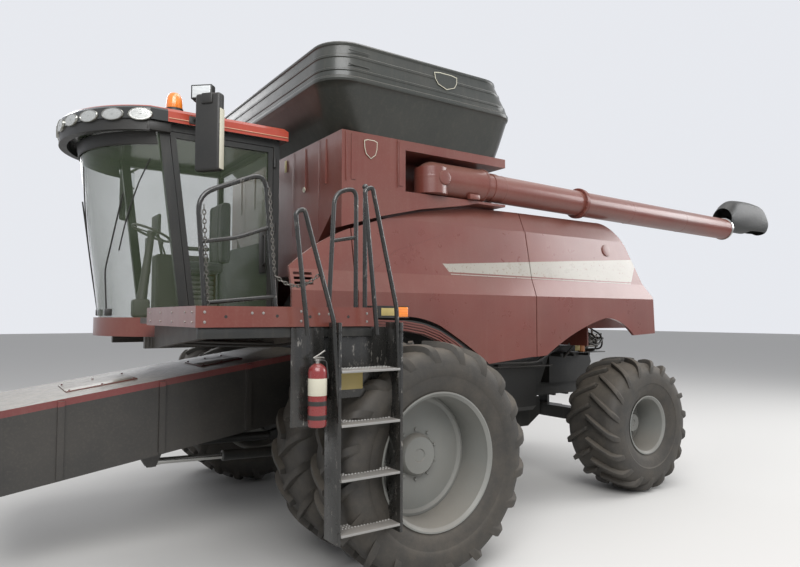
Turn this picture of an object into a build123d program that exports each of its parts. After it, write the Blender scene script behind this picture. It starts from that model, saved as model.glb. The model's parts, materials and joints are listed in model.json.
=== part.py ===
from build123d import *
from math import asin, cos, degrees, pi, radians, sin, sqrt, tan
import os

os.makedirs("parts", exist_ok=True)

# A self-propelled combine harvester without its header, in millimetres.
# The model is laid out with X forward, Y to the driver's left and Z up. X is measured
# from the front axle, Y from the machine's middle and Z from the ground. On writing,
# everything moves along X so that the origin lies under the middle of the whole length.

# Wheels and axles
wheelbase = 3750
wheel_sides = 16
front_tyre_radius = 965
front_tyre_width = 520
front_rim_radius = 535
front_inner_track = 1525
front_outer_track = 2295
rear_tyre_radius = 810
rear_tyre_width = 720
rear_rim_radius = 330
rear_track = 1525
kingpin_track = 1100
bead_share = 0.8
front_lugs = 14
rear_lugs = 13
lug_height = 46
lug_width = 50
lug_lean = 38
rim_wall = 14
flange_height = 26
hub_radius = 165
rear_hub_radius = 120
front_beam_depth = 230
front_beam_width = 240
final_drive_inner = 800
final_drive_outer = 1060
rear_beam_depth = 160
rear_beam_width = 180
beam_end_gap = 160
axle_pin_radius = 40
pin_clearance = 0.05
kingpin_radius = 28
stub_radius = 62
running_gap = 12

# Chassis and threshing housing
rail_middle = 500
rail_width = 100
rail_depth = 160
rail_front = 200
rail_rear = -4000
housing_half_width = 700
housing_front = 80
housing_rear = -3300
housing_top = 2440
drive_outer = 860
drive_places = [
    # x, z, radius
    (-3120, 2010, 190), (-2560, 2190, 120),
]
shoe_half_width = 640
shoe_depth = 365
shoe_front = -500
shoe_rear = -3120
store_box_outer = 880
store_box_front = -1900
store_box_rear = -2800

# Side panels, given at their outer skin
panel_thickness = 35
panel_low_half_width = 1620
panel_shelf_low = 2360
panel_shelf_high = 2550
panel_shelf_half_width = 1550
panel_band_half_width = 1450
panel_top_half_width = 1350
panel_split = -2050
panel_front = 250
panel_gap = 12
crease_depth = 9
fixed_side_front = 900
vent_slot = 24

# Grain tank and its extension
tank_front = 350
tank_rear = -1720
tank_half_width = 1480
tank_waist_half_width = 1290
tank_floor = 2560
tank_floor_half_width = 650
tank_wall = 25
fold_height = 9
pocket_front = -370
pocket_inner = 1000
extension_flare = 410
extension_band = 350
extension_wall = 18
extension_corner = 300
extension_corner_steps = 3

# Unloading auger
unload_pivot_x = -750
unload_y = 1390
unload_height = 3560
unload_elbow_radius = 175
unload_sides = 20
unload_tube_radius = 155
unload_tube_start = -1400
unload_tube_end = -6380
unload_rise = 80
spout_end = -7500
spout_top = unload_height + 400
spout_low = unload_height - 120
# Wheel arch ribs: each point gives x, z and how far a lower rib shifts forward
lip_line = [
    (-1290, 1585, 0.9), (-1085, 1745, 0.8), (-880, 1885, 0.6), (-680, 1990, 0.4), (-480, 2056, 0.2),
    (-250, 2092, 0), (190, 2110, 0),
]
fender_inner = 830
fender_outer = 1610
lip_ribs = 4
lip_pitch = 26
lip_rib = 15
lip_step = 11
lip_depth = 100

# Heights that follow the unloading auger: it lies in a pocket of the tank, the tank's
# shoulder is just under the pocket, and the side panels end just under the shoulder.
pocket_low = unload_height - unload_elbow_radius - 13
pocket_high = unload_height + 225
tank_top = pocket_high + 95
tank_shoulder = pocket_low - 7
extension_flare_top = tank_top + extension_flare
extension_top = extension_flare_top + extension_band
panel_top = tank_shoulder - 35
panel_band_low = panel_top - 230
deck_z = panel_top - 115

# Cab
cab_half_width = 850
cab_rear = 700
cab_floor_top = 2120
cab_floor_depth = 170
cab_top = 3840
cab_post = 60
pillar_foot = 1540
pillar_head = 1760
pillar_width = 85
glass_nose = 2150
glass_thickness = 12
roof_top = 3965
roof_rear = 640
roof_half_width = 925
roof_nose = 2540
roof_shoulder = 1930
roof_chamfer = 32
visor_depth = 95
lamp_radius = 42
lamp_places = (120, 360, 560)
beacon_x = 1690
beacon_radius = 62
beacon_height = 90
mirror_x = 1611
mirror_y = 1700
mirror_width = 187
mirror_low = 3290
mirror_high = 3915
seat_low = 2560
console_top = 2790
steering_wheel_radius = 190
door_gap = 6
door_frame_width = 48
door_thickness = 46

# Platform, ladder and rails
deck_top = 2120
deck_thickness = 50
deck_rear = 610
deck_front = 1960
fascia_depth = 140
signal_rear = 300
right_deck_outer = 1500
ladder_gap = 17
ladder_depth = 100
ladder_inner = front_outer_track + front_tyre_width / 2 + ladder_gap
ladder_outer = ladder_inner + ladder_depth
deck_step = 72
deck_outer = ladder_inner - deck_step
ladder_rear = 470
ladder_front = 1020
ladder_low = 540
step_pitch = 380
rail_radius = 17
rail_sides = 8

# Feeder house
feeder_half_width = 690
feeder_pivot_x = 350
feeder_pivot_z = 1550
feeder_face_x = 3050
feeder_top_rear = 1785
feeder_top_face = 1370
feeder_low_rear = 1120
feeder_low_face = 700
feeder_wall = 30
face_depth = 50
lift_y = 450
lift_foot_x = 190
lift_foot_z = 745
lift_eye_x = 1760
lift_eye_z = 800
lift_pin_radius = 22
lift_eye_slack = 10
lift_eye_radius = 50
lift_barrel_radius = 52
lift_rod_radius = 32
lift_barrel_length = 900

front_reach = feeder_face_x + face_depth
origin_x = (front_reach + spout_end) / 2


def block(x_range, y_range, z_range):
    """A box between two values on each axis."""
    lows = [min(r) for r in (x_range, y_range, z_range)]
    sizes = [max(r) - min(r) for r in (x_range, y_range, z_range)]
    centre = [low + size / 2 for low, size in zip(lows, sizes)]
    return Pos(*centre) * Box(*sizes)


def from_outline(points, push):
    """A straight prism on a closed outline of points in space."""
    face = Face(Wire.make_polygon([Vector(*p) for p in points], close=True))
    return Part() + Solid.extrude(face, Vector(*push))


def stacked(outlines):
    """A solid with flat faces between outlines that have as many points each."""
    faces = [Face(Wire.make_polygon(outlines[0], close=True))]
    for low, high in zip(outlines, outlines[1:]):
        ends = zip(low, low[1:] + low[:1], high[1:] + high[:1], high)
        faces += [Face(Wire.make_polygon(corners, close=True)) for corners in ends]
    faces.append(Face(Wire.make_polygon(outlines[-1], close=True)))
    return Part() + Solid(Shell(faces))


def side_prism(points, y_low, y_high):
    """An outline of (x, z) points, carried across the machine."""
    return from_outline([(x, y_low, z) for x, z in points], (0, y_high - y_low, 0))


def cross_prism(points, x_low, x_high):
    """An outline of (y, z) points, carried along the machine."""
    return from_outline([(x_low, y, z) for y, z in points], (x_high - x_low, 0, 0))



def rod(start, end, radius):
    """A round bar between two points."""
    start, end = Vector(*start), Vector(*end)
    path = end - start
    bar = Cylinder(radius, path.length, align=(Align.CENTER, Align.CENTER, Align.MIN))
    return Plane(origin=start, z_dir=path).location * bar


def bar(start, end, radius, sides=12):
    """A bar with flat sides between two points."""
    start, end = Vector(*start), Vector(*end)
    path = end - start
    section = Plane(origin=start, z_dir=path.normalized()) * RegularPolygon(radius, sides)
    return extrude(section, amount=path.length)


def eased(points, cut):
    """The same run of points with each corner cut off at a distance from it."""
    run = [Vector(*points[0])]
    for before, corner, after in zip(points, points[1:], points[2:]):
        corner = Vector(*corner)
        for other in (before, after):
            run.append(corner + (Vector(*other) - corner).normalized() * cut)
    return run + [Vector(*points[-1])]


def bent_rail(points, radius, cut=0, sides=rail_sides):
    """A bar with flat sides through the points, mitred at each bend."""
    path = Polyline(*(eased(points, cut) if cut else points))
    section = Plane(origin=path @ 0, z_dir=path % 0) * RegularPolygon(radius, sides)
    return Part() + sweep(section, path=path, transition=Transition.RIGHT)


def cornered_plan(rear, front, side, corner, z):
    """A rectangle in plan whose corners are turned in a few equal steps."""
    points = []
    for centre_x, centre_y, start in (
        (front - corner, side - corner, 0), (rear + corner, side - corner, 90),
        (rear + corner, corner - side, 180), (front - corner, corner - side, 270),
    ):
        for k in range(extension_corner_steps + 1):
            turn = radians(start + 90 * k / extension_corner_steps)
            points.append(Vector(centre_x + corner * cos(turn), centre_y + corner * sin(turn), z))
    return points


def mirrored(shape):
    """The same shape on the machine's other side."""
    return shape.mirror(Plane.XZ)


def both(shape):
    """A shape on the left with its mirror image on the right."""
    return shape + mirrored(shape)


def bowed_plan(rear, side, shoulder, nose, z):
    """A plan outline with a straight rear and sides and an arc for its nose."""
    corners = [(shoulder, side, z), (rear, side, z), (rear, -side, z), (shoulder, -side, z)]
    edges = [Edge.make_line(a, b) for a, b in zip(corners, corners[1:])]
    edges.append(Edge.make_three_point_arc(corners[3], (nose, 0, z), corners[0]))
    return Face(Wire(edges))


def bow_x(side, shoulder, nose, y):
    """How far forward a bowed plan reaches at a distance from the middle."""
    depth = nose - shoulder
    bow_radius = (side**2 + depth**2) / (2 * depth)
    return nose - bow_radius + sqrt(bow_radius**2 - y**2)


def save(name, shape):
    """Writes a piece with the origin under the middle of the length."""
    solids = [solid.moved(Location((-origin_x, 0, 0))) for solid in shape.solids()]
    piece = solids[0] if len(solids) == 1 else Compound(children=solids)
    export_step(piece, f"parts/{name}.step")


# Wheels are turned forms drawn with flat sides, so a tyre and its rim seat side on side.
def wheel_ring(radius, y):
    """The corners of a regular polygon about the Y axis."""
    turns = [2 * pi * k / wheel_sides for k in range(wheel_sides)]
    return [Vector(radius * sin(turn), y, -radius * cos(turn)) for turn in turns]


def drum(radius, y_low, y_high):
    """A straight many-sided drum about the Y axis."""
    return stacked([wheel_ring(radius, y) for y in (y_low, y_high)])


def lug(radius, width, rim_radius, side):
    """A lug from the tread's middle over one shoulder, pointing down."""
    reach = 0.47 * width
    run = reach * tan(radians(lug_lean)) / 2
    half = lug_width / cos(radians(lug_lean)) / 2
    root = radius - 0.42 * (radius - rim_radius)
    tip = sqrt(radius**2 - (run + half) ** 2)
    outline = [
        (-run - half, 0), (-run + half, 0), (run + half, side * reach), (run - half, side * reach)
    ]
    turn = degrees(asin((run + half) / radius))
    return Rot(0, turn, 0) * from_outline([(x, y, -root) for x, y in outline], (0, 0, root - tip))


def tyre(radius, width, rim_radius, lugs, centre):
    """A tyre with chevron lugs whose tread runs along Y, centred on the given point."""
    bead = width * bead_share / 2
    toe = rim_radius + flange_height + 8
    crown = radius - lug_height
    levels = [
        # distance from the middle, radius
        (bead, toe), (width / 2, (rim_radius + crown) / 2), (0.42 * width, crown),
    ]
    levels = [(-y, r) for y, r in levels] + [(y, r) for y, r in reversed(levels)]
    body = stacked([wheel_ring(r, y) for y, r in levels])
    body -= drum(rim_radius, -width, width)
    pitch = 360 / lugs
    for side, start in ((-1, 0), (1, pitch / 2)):
        one = lug(radius, width, rim_radius, side)
        body += [Rot(0, start + k * pitch, 0) * one for k in range(lugs)]
    return Pos(*centre) * body


def rim(width, rim_radius, disc_y, centre):
    """A rim with two flanges and a disc at a distance from the middle of its width."""
    half = width * bead_share / 2
    end = half + rim_wall
    shape = drum(rim_radius, -half, half)
    for low, high in ((-end, -half), (half, end)):
        shape += drum(rim_radius + flange_height, low, high)
    for low, high in ((-end, disc_y - rim_wall), (disc_y + rim_wall, end)):
        shape -= drum(rim_radius - rim_wall, low, high)
    return Pos(*centre) * shape


front_disc = 90
rear_disc = 60
front_hub_inner = 1380
front_hub_end = front_outer_track + front_disc + 60


def front_rims():
    """Two rims of one side on one hub, joined by a spacer drum."""
    shape = rim(front_tyre_width, front_rim_radius, front_disc, (0, front_inner_track, 0))
    shape += rim(front_tyre_width, front_rim_radius, front_disc, (0, front_outer_track, 0))
    shape += drum(hub_radius + 70, front_inner_track + front_disc, front_outer_track + front_disc)
    shape += drum(hub_radius, front_hub_inner, front_hub_end)
    return Pos(0, 0, front_tyre_radius) * shape


def rear_rim():
    """The rear rim with its hub, bored for the stub axle."""
    hub_start = rear_track - 150
    hub_end = rear_track + rear_disc + 70
    shape = rim(rear_tyre_width, rear_rim_radius, rear_disc, (0, rear_track, 0))
    shape += drum(rear_hub_radius, hub_start, hub_end)
    shape -= rod((0, hub_start, 0), (0, hub_end - 40, 0), stub_radius)
    return Pos(-wheelbase, 0, rear_tyre_radius) * shape


front_sizes = (front_tyre_radius, front_tyre_width, front_rim_radius, front_lugs)
left_front_tyres = tyre(*front_sizes, (0, front_inner_track, front_tyre_radius))
left_front_tyres += tyre(*front_sizes, (0, front_outer_track, front_tyre_radius))
# The steered tyres at the back are fitted with their chevrons the other way round.
left_rear_tyre = Pos(-wheelbase, rear_track, rear_tyre_radius) * Rot(0, 0, 180) * tyre(
    rear_tyre_radius, rear_tyre_width, rear_rim_radius, rear_lugs, (0, 0, 0)
)
for side, turn in (("left", lambda shape: shape), ("right", mirrored)):
    save(f"front_{side}_tyres", turn(left_front_tyres))
    save(f"front_{side}_rims", turn(front_rims()))
    save(f"rear_{side}_tyre", turn(left_rear_tyre))
    save(f"rear_{side}_rim", turn(rear_rim()))


# Axles. The front beam carries a final drive on each side, and the rear beam rocks on
# a pin along the machine and ends in a kingpin on each side.
front_height = front_tyre_radius
rear_height = rear_tyre_radius
beam_top = front_height + front_beam_depth / 2
rail_low = beam_top
rail_high = rail_low + rail_depth
beam_x = front_beam_width / 2
front_axle = block(
    (-beam_x, beam_x),
    (-final_drive_outer, final_drive_outer),
    (front_height - front_beam_depth / 2, beam_top),
)
drive_outline = [
    (-190, front_height - 150), (-120, front_height - 230), (120, front_height - 230),
    (190, front_height - 150), (190, front_height + 90), (120, front_height + 230),
    (-120, front_height + 230), (-190, front_height + 90),
]
front_axle += both(side_prism(drive_outline, final_drive_inner, final_drive_outer))
front_axle += both(bar(
    (0, final_drive_outer, front_height), (0, front_hub_inner - running_gap, front_height), 120
))
# Two ears a side carry the foot pin of a lift cylinder.
ear_gap = 58
for side in (-1, 1):
    ear_y = lift_y + side * (ear_gap / 2 + 10)
    ears = side_prism(
        [(-60, front_height - 100), (lift_foot_x + 45, lift_foot_z + 50),
         (lift_foot_x + 45, lift_foot_z - 45), (lift_foot_x - 45, lift_foot_z - 45)],
        ear_y - 10, ear_y + 10,
    )
    front_axle += both(ears)
pin_reach = ear_gap / 2 + 20
foot_pin = rod(
    (lift_foot_x, lift_y - pin_reach, lift_foot_z), (lift_foot_x, lift_y + pin_reach, lift_foot_z),
    lift_pin_radius,
)
front_axle += both(foot_pin)
beam_end = kingpin_track - beam_end_gap
rear_axle = block(
    (-wheelbase - rear_beam_width / 2, -wheelbase + rear_beam_width / 2),
    (-beam_end, beam_end),
    (rear_height - rear_beam_depth / 2, rear_height + rear_beam_depth / 2),
)
yoke_half = 35
for low, high in ((-105, -75), (75, 105)):
    rear_axle += both(block(
        (-wheelbase - yoke_half, -wheelbase + yoke_half),
        (beam_end - 50, kingpin_track + 40),
        (rear_height + low, rear_height + high),
    ))
kingpin_axis = [(-wheelbase, kingpin_track, rear_height + z) for z in (-105, 105)]
rear_axle += both(rod(*kingpin_axis, kingpin_radius))
pin_start = (-wheelbase - 160, 0, rear_height)
pin_end = (-wheelbase + 160, 0, rear_height)
rear_axle -= bar(pin_start, pin_end, axle_pin_radius + pin_clearance)
steer_height = rear_height + 20
steer_x = -wheelbase - 210
rear_axle += both(block(
    (steer_x, -wheelbase - rear_beam_width / 2 + 5), (120, 200), (steer_height - 30, steer_height + 30)
))
rear_axle += bar((steer_x, -260, steer_height), (steer_x, 260, steer_height), 45)
steer_bore = 22
steer_line = [(steer_x, y, steer_height) for y in (-300, 300)]
rear_axle -= bar(*steer_line, steer_bore + pin_clearance)
save("axle_beams", front_axle + rear_axle)

steer_arm_y = kingpin_track - 60
save("steering_rod", bar(
    (steer_x, -steer_arm_y + 75, steer_height), (steer_x, steer_arm_y - 75, steer_height), steer_bore
))
knuckle = block(
    (-wheelbase - 55, -wheelbase + 55),
    (kingpin_track - 45, kingpin_track + 60),
    (rear_height - 70, rear_height + 70),
)
knuckle += rod(
    (-wheelbase, kingpin_track + 60, rear_height),
    (-wheelbase, rear_track + rear_disc + 20, rear_height),
    stub_radius - pin_clearance,
)
knuckle += block(
    (steer_x - 30, -wheelbase - 50), (steer_arm_y - 15, steer_arm_y + 30),
    (steer_height - 20, steer_height + 20),
)
knuckle -= rod(*kingpin_axis, kingpin_radius + pin_clearance)
save("left_knuckle", knuckle)
save("right_knuckle", mirrored(knuckle))

# Chassis: two rails on the front axle, cross members, the rear axle's two lugs with
# its pin, and the drawbar at the back.
rail_inner = rail_middle - rail_width / 2
rail_outer = rail_middle + rail_width / 2
chassis = both(block((rail_rear, rail_front), (rail_inner, rail_outer), (rail_low, rail_high)))
for member_x in (-3950, -3560, -2300, -1200, -200, 160):
    chassis += block((member_x, member_x + 80), (-rail_inner, rail_inner), (rail_low, rail_high))
for lug_x in (-wheelbase - 150, -wheelbase + 110):
    chassis += block((lug_x, lug_x + 40), (-90, 90), (rear_height - 70, rail_low + 20))
    chassis += block((lug_x, lug_x + 40), (-rail_inner, rail_inner), (rail_low - 40, rail_low + 20))
chassis += bar(pin_start, pin_end, axle_pin_radius)
drawbar_end = -4330
drawbar_low = rail_low - 20
chassis += block((rail_rear - 20, -3940), (-rail_inner, rail_inner), (drawbar_low, drawbar_low + 90))
chassis += block((drawbar_end, rail_rear), (-60, 60), (drawbar_low, drawbar_low + 35))
drawbar_bore = 17
drawbar_pin_x = drawbar_end + 60
chassis -= rod(
    (drawbar_pin_x, 0, drawbar_low - 10), (drawbar_pin_x, 0, drawbar_low + 60), drawbar_bore
)
save("chassis_frame", chassis)

# Threshing and separating housing, with the cleaning shoe under it, the straw
# chopper behind it and a store box on each side.
housing_low = rail_high
housing_outline = [
    (housing_front, housing_low), (housing_front, 2080), (-150, housing_top), (housing_rear, housing_top),
    (housing_rear, 1760), (-3060, housing_low),
]
housing = side_prism(housing_outline, -housing_half_width, housing_half_width)
pivot_ear = 36
ear_outline = [
    (housing_front - 60, feeder_pivot_z - 110), (housing_front - 60, feeder_pivot_z + 110),
    (feeder_pivot_x, feeder_pivot_z + 60), (feeder_pivot_x + 55, feeder_pivot_z),
    (feeder_pivot_x, feeder_pivot_z - 60),
]
ear_inner = housing_half_width + 8
housing += both(side_prism(ear_outline, ear_inner, ear_inner + pivot_ear))
housing += both(block(
    (housing_front - 60, housing_front), (housing_half_width - 20, ear_inner + pivot_ear),
    (feeder_pivot_z - 110, feeder_pivot_z + 110),
))
feeder_pin_radius = 32
housing += both(rod(
    (feeder_pivot_x, feeder_half_width - feeder_wall, feeder_pivot_z),
    (feeder_pivot_x, ear_inner + pivot_ear, feeder_pivot_z), feeder_pin_radius,
))
save("separator_housing", housing)

# Belt drives on the housing's sides: two pulleys, a straight-sided belt and a guard arm.
drives = Part()
for drive_x, drive_z, drive_radius in drive_places:
    drives += bar(
        (drive_x, housing_half_width, drive_z), (drive_x, drive_outer, drive_z), drive_radius, 16
    )
belt_y = drive_outer - 36
(x_a, z_a, r_a), (x_b, z_b, r_b) = drive_places
for side in (1, -1):
    drives += side_prism(
        [(x_a, z_a + side * (r_a - 6)), (x_b, z_b + side * (r_b - 6)),
         (x_b, z_b + side * (r_b + 6)), (x_a, z_a + side * (r_a + 6))], belt_y - 22, belt_y + 22,
    )
save("belt_drives", both(drives))

shoe_top = rail_low
shoe_low = shoe_top - shoe_depth
shoe_outline = [
    (shoe_front, shoe_top), (shoe_front - 60, shoe_low + 85), (shoe_front - 400, shoe_low),
    (shoe_rear + 220, shoe_low), (shoe_rear, shoe_low + 140), (shoe_rear, shoe_top),
]
save("cleaning_shoe", side_prism(shoe_outline, -shoe_half_width, shoe_half_width))
box_outline = [(housing_half_width, 950), (housing_half_width, 1500), (store_box_outer, 1500),
               (store_box_outer, 1010), (store_box_outer - 60, 950)]
save("store_boxes", both(cross_prism(box_outline, store_box_rear, store_box_front)))
chopper_half_width = 640
chopper_outline = [
    (housing_rear - 8, housing_low + 5), (housing_rear - 8, 1740), (-4090, 1740), (-4160, 1500),
    (-4030, housing_low + 5),
]
save("straw_chopper", side_prism(chopper_outline, -chopper_half_width, chopper_half_width))

# Straw hood: a thin shell open below, over the chopper and behind the engine.
hood_half_width = 1270
hood_wall = 25
hood_tail = -4135
lamp_box_y = 960
hood_top = panel_top - 90
hood_outer = [
    (-3318, hood_top), (-3620, hood_top), (-3800, hood_top - 150), (-3990, 2600), (-4100, 2400),
    (-4130, 1985), (-3318, 1985),
]
hood_inner = [
    (-3343, hood_top - 25), (-3609, hood_top - 25), (-3778, hood_top - 165), (-3966, 2590),
    (-4076, 2392), (-4107, 1960), (-3343, 1960),
]
hood = side_prism(hood_outer, -hood_half_width, hood_half_width)
hood -= side_prism(hood_inner, -hood_half_width + hood_wall, hood_half_width - hood_wall)
hood += block((-3343, -3318), (-hood_half_width, hood_half_width), (1765, 1990))
hood += both(block((-3343, -3318), (chopper_half_width + 10, chopper_half_width + 40), (1765, 1990)))
save("rear_hood", hood)

# Engine: one plain block on the housing's roof, under a deck with a raised grille.
engine = block((-3050, -1950), (-420, 420), (housing_top, deck_z - 135))
save("engine_block", engine)
engine_deck = block((-3310, tank_rear - 10), (-hood_half_width, hood_half_width), (deck_z, deck_z + 25))
engine_deck += block((-3000, -2100), (-560, 560), (deck_z, deck_z + 95))
engine_deck += block((-3310, -3290), (-hood_half_width, hood_half_width), (housing_top, deck_z))
engine_deck += block((-3200, -1900), (-hood_half_width, -hood_half_width + 90), (2520, deck_z))
for k in range(5):
    slat_x = -2880 + k * 190
    engine_deck += block((slat_x, slat_x + 60), (-500, 500), (deck_z + 90, deck_z + 118))
engine_deck += bar((-2350, -820, deck_z), (-2350, -820, deck_z + 560), 78)
save("engine_deck", engine_deck)

# Grain tank: a hopper with a waist, a wide upper part and a pocket in its left wall
# for the unloading auger. Its upper walls come down to the side panels' curved edge.
def tank_section(inset):
    """The tank's outline across the machine, moved inwards by a wall."""
    rise = 0 if inset == 0 else inset * 0.6
    left = [
        (tank_half_width - inset, tank_top + 2 * inset),
        (tank_half_width - inset, tank_shoulder + rise),
        (tank_waist_half_width - inset, tank_shoulder - rise * 2),
        (tank_waist_half_width - inset, tank_shoulder - 245),
        (tank_floor_half_width, tank_floor + inset),
    ]
    return left + [(-y, z) for y, z in reversed(left)]


tank = cross_prism(tank_section(0), tank_rear, tank_front)
skirt_edge = [
    (tank_front, tank_shoulder + 20), (tank_front, tank_shoulder - 400), (-90, tank_shoulder - 265),
    (-570, tank_shoulder - 150), (-1090, tank_shoulder - 65), (-1500, tank_shoulder + 20),
]
tank += both(side_prism(skirt_edge, tank_waist_half_width - 5, tank_half_width))
tank -= cross_prism(tank_section(tank_wall), tank_rear + tank_wall, tank_front - tank_wall)
pocket_box = block(
    (tank_rear - 1, pocket_front + tank_wall),
    (pocket_inner - tank_wall, tank_half_width - 3),
    (pocket_low - tank_wall, pocket_high + tank_wall),
)
tank += pocket_box - block(
    (tank_rear - 1, tank_rear), (pocket_inner - tank_wall - 1, tank_half_width),
    (pocket_low - 60, pocket_high + 60),
)
tank -= block(
    (tank_rear - 5, pocket_front), (pocket_inner, tank_half_width + 5), (pocket_low, pocket_high)
)
for fold_y in (-1150, -700, 700, 1150):
    tank += block(
        (tank_front - 5, tank_front + fold_height), (fold_y - 22, fold_y + 22),
        (tank_shoulder + 55, tank_top - 25),
    )
for fold_x in (tank_front - 120, pocket_front + 60):
    tank += both(block(
        (fold_x - 22, fold_x + 22), (tank_half_width - 5, tank_half_width + fold_height),
        (tank_shoulder + 55, tank_top - 25),
    ))
save("grain_tank", tank)

# A cross auger lies on the tank's floor.
auger_radius = 90
auger_z = tank_floor + tank_wall + auger_radius + 5
cross_auger = bar((unload_pivot_x, -600, auger_z), (unload_pivot_x, 600, auger_z), auger_radius)
save("tank_augers", cross_auger)

# Tank extension: a flared collar and a band over it, each a thin loft between two
# rounded rectangles.
extension_levels = [
    # rear, front, side, z
    (tank_rear, tank_front, tank_half_width, tank_top),
    (-1690, 640, 1745, extension_flare_top),
    (-1520, 610, 1700, extension_top),
]


def extension_solid(inset):
    """The extension's outlines stacked, moved inwards by a wall."""
    return stacked([
        cornered_plan(rear + inset, front - inset, side - inset, extension_corner - inset, z)
        for rear, front, side, z in extension_levels
    ])

save("tank_extension", extension_solid(0) - extension_solid(extension_wall))

# Unloading auger, stowed along the left side: a turning elbow, the tube with its
# flanges and a rubber spout. It turns about an upright through the elbow.
elbow_low = pocket_low + 8
tube_start = (unload_tube_start, unload_y, unload_height)
tube_end = (unload_tube_end, unload_y, unload_height + unload_rise)
elbow = bent_rail([
    (unload_pivot_x, unload_y, elbow_low), (unload_pivot_x, unload_y, unload_height), tube_start
], unload_elbow_radius, sides=unload_sides)
corner_block = Pos(500 + unload_elbow_radius * 1.02, 0, 0) * Box(1000, 1000, 2000)
elbow -= Pos(unload_pivot_x, unload_y, unload_height) * Rot(0, -45, 0) * corner_block
tube_root = (unload_tube_start + 90, unload_y, unload_height)
unloading_tube = elbow + bar(tube_root, tube_end, unload_tube_radius, unload_sides)
flange_length = 24
for flange_x in (unload_tube_start, -3000):
    share = (flange_x - unload_tube_start) / (unload_tube_end - unload_tube_start)
    flange_z = unload_height + share * unload_rise
    unloading_tube += bar(
        (flange_x, unload_y, flange_z), (flange_x - flange_length, unload_y, flange_z),
        unload_elbow_radius + 12, unload_sides,
    )
mouth_bore = unload_tube_radius - 8
mouth_start = (unload_tube_end + 400, unload_y, tube_end[2] - 6)
mouth_end = (unload_tube_end - 5, unload_y, tube_end[2])
unloading_tube -= bar(mouth_start, mouth_end, mouth_bore, unload_sides)
save("unloading_tube", unloading_tube)
spout_outline = [
    (unload_tube_end + 60, spout_top - 170), (unload_tube_end - 120, spout_top), (spout_end + 330, spout_top),
    (spout_end + 60, spout_top - 70), (spout_end, spout_top - 300), (spout_end + 20, spout_low),
    (spout_end + 420, spout_low), (unload_tube_end + 60, tube_end[2] - unload_tube_radius - 25),
]
spout_half_width = 175
spout_wall = 14
spout = side_prism(spout_outline, unload_y - spout_half_width, unload_y + spout_half_width)
spout_hollow = [
    (unload_tube_end + 40, spout_top - 185), (unload_tube_end - 115, spout_top - 16),
    (spout_end + 325, spout_top - 16), (spout_end + 76, spout_top - 80), (spout_end + 16, spout_top - 300),
    (spout_end + 36, spout_low - 10), (spout_end + 405, spout_low - 10),
    (unload_tube_end + 40, tube_end[2] - unload_tube_radius - 5),
]
spout -= side_prism(
    spout_hollow, unload_y - spout_half_width + spout_wall, unload_y + spout_half_width - spout_wall
)
spout -= bar(tube_root, tube_end, unload_tube_radius, unload_sides)
save("unloading_spout", spout)

# Side panels: one folded section across the machine, cut by each panel's outline.
panel_foot = 1560


def panel_section(inset):
    """The left panel's skin across the machine, moved inwards."""
    return [
        (panel_low_half_width - inset, panel_foot - inset),
        (panel_low_half_width - inset, panel_shelf_low - inset * 0.2),
        (panel_shelf_half_width - inset, panel_shelf_high - inset * 0.2),
        (panel_band_half_width - inset, panel_band_low - inset * 0.2),
        (panel_top_half_width - inset, panel_top + 10),
        (900, panel_top + 10), (900, panel_foot - inset),
    ]


def panel_stock(x_low, x_high):
    """The folded skin along a length of the machine."""
    return cross_prism(panel_section(0), x_low, x_high) - cross_prism(
        panel_section(panel_thickness), x_low - 10, x_high + 10
    )


def crease_relief():
    """The skin above the panels' styling crease, to be set back a little."""
    crease = [(120, 2500), (-240, panel_top - 560), (-870, panel_top - 350), (-1900, panel_top - 230),
              (-3210, panel_top - 220), (-3900, panel_top - 270)]
    above = side_prism(crease + [(-3900, panel_top + 170), (120, panel_top + 170)], 1000, 1800)
    shallow = cross_prism(panel_section(-20), -4300, 300) - cross_prism(
        panel_section(crease_depth), -4310, 310
    )
    return above & shallow


def outline_face(pieces, y):
    """A side outline of lines and arcs: two points make a line and three an arc."""
    edges = []
    for piece in pieces:
        ends = [(x, y, z) for x, z in piece]
        edges.append(Edge.make_line(*ends) if len(ends) == 2 else Edge.make_three_point_arc(*ends))
    return Face(Wire(edges))


def cut_panel(pieces, x_low, x_high):
    """One panel of the left side, cut from the folded skin."""
    face = outline_face(pieces, 1100)
    return panel_stock(x_low, x_high) & (Part() + Solid.extrude(face, Vector(0, 700, 0)))


half_gap = panel_gap / 2
front_edge = panel_front - half_gap
split_front = panel_split + half_gap
split_rear = panel_split - half_gap
top_front = panel_top - 375
front_panel = cut_panel([
    [(front_edge, 2150), (front_edge, top_front)],
    [(front_edge, top_front), (-570, panel_top - 140), (-1670, panel_top - 5)],
    [(-1670, panel_top - 5), (split_front, panel_top)],
    [(split_front, panel_top), (split_front, 1690)],
    [(split_front, 1690), (-1960, 1690)],
    [(-1960, 1690), (-1340, 1640)],
    [(-1340, 1640), (-1060, 1830), (-700, 2040)],
    [(-700, 2040), (-500, 2105), (-250, 2135)],
    [(-250, 2135), (front_edge, 2150)],
], split_front, front_edge)
rear_panel = cut_panel([
    [(split_rear, panel_top), (-3400, panel_top)],
    [(-3400, panel_top), (-3670, panel_top - 65), (-3830, panel_top - 240)],
    [(-3830, panel_top - 240), (-4075, 2570)],
    [(-4075, 2570), (-4205, 2390)],
    [(-4205, 2390), (-4230, 1920)],
    [(-4230, 1920), (-3790, 1900)],
    [(-3790, 1900), (-3540, 2060), (-3250, 2120)],
    [(-3250, 2120), (-2700, 1950), (-2210, 1700)],
    [(-2210, 1700), (split_rear, 1690)],
    [(split_rear, 1690), (split_rear, panel_top)],
], -4230, split_rear)
fixed_front = panel_front + half_gap
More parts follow.
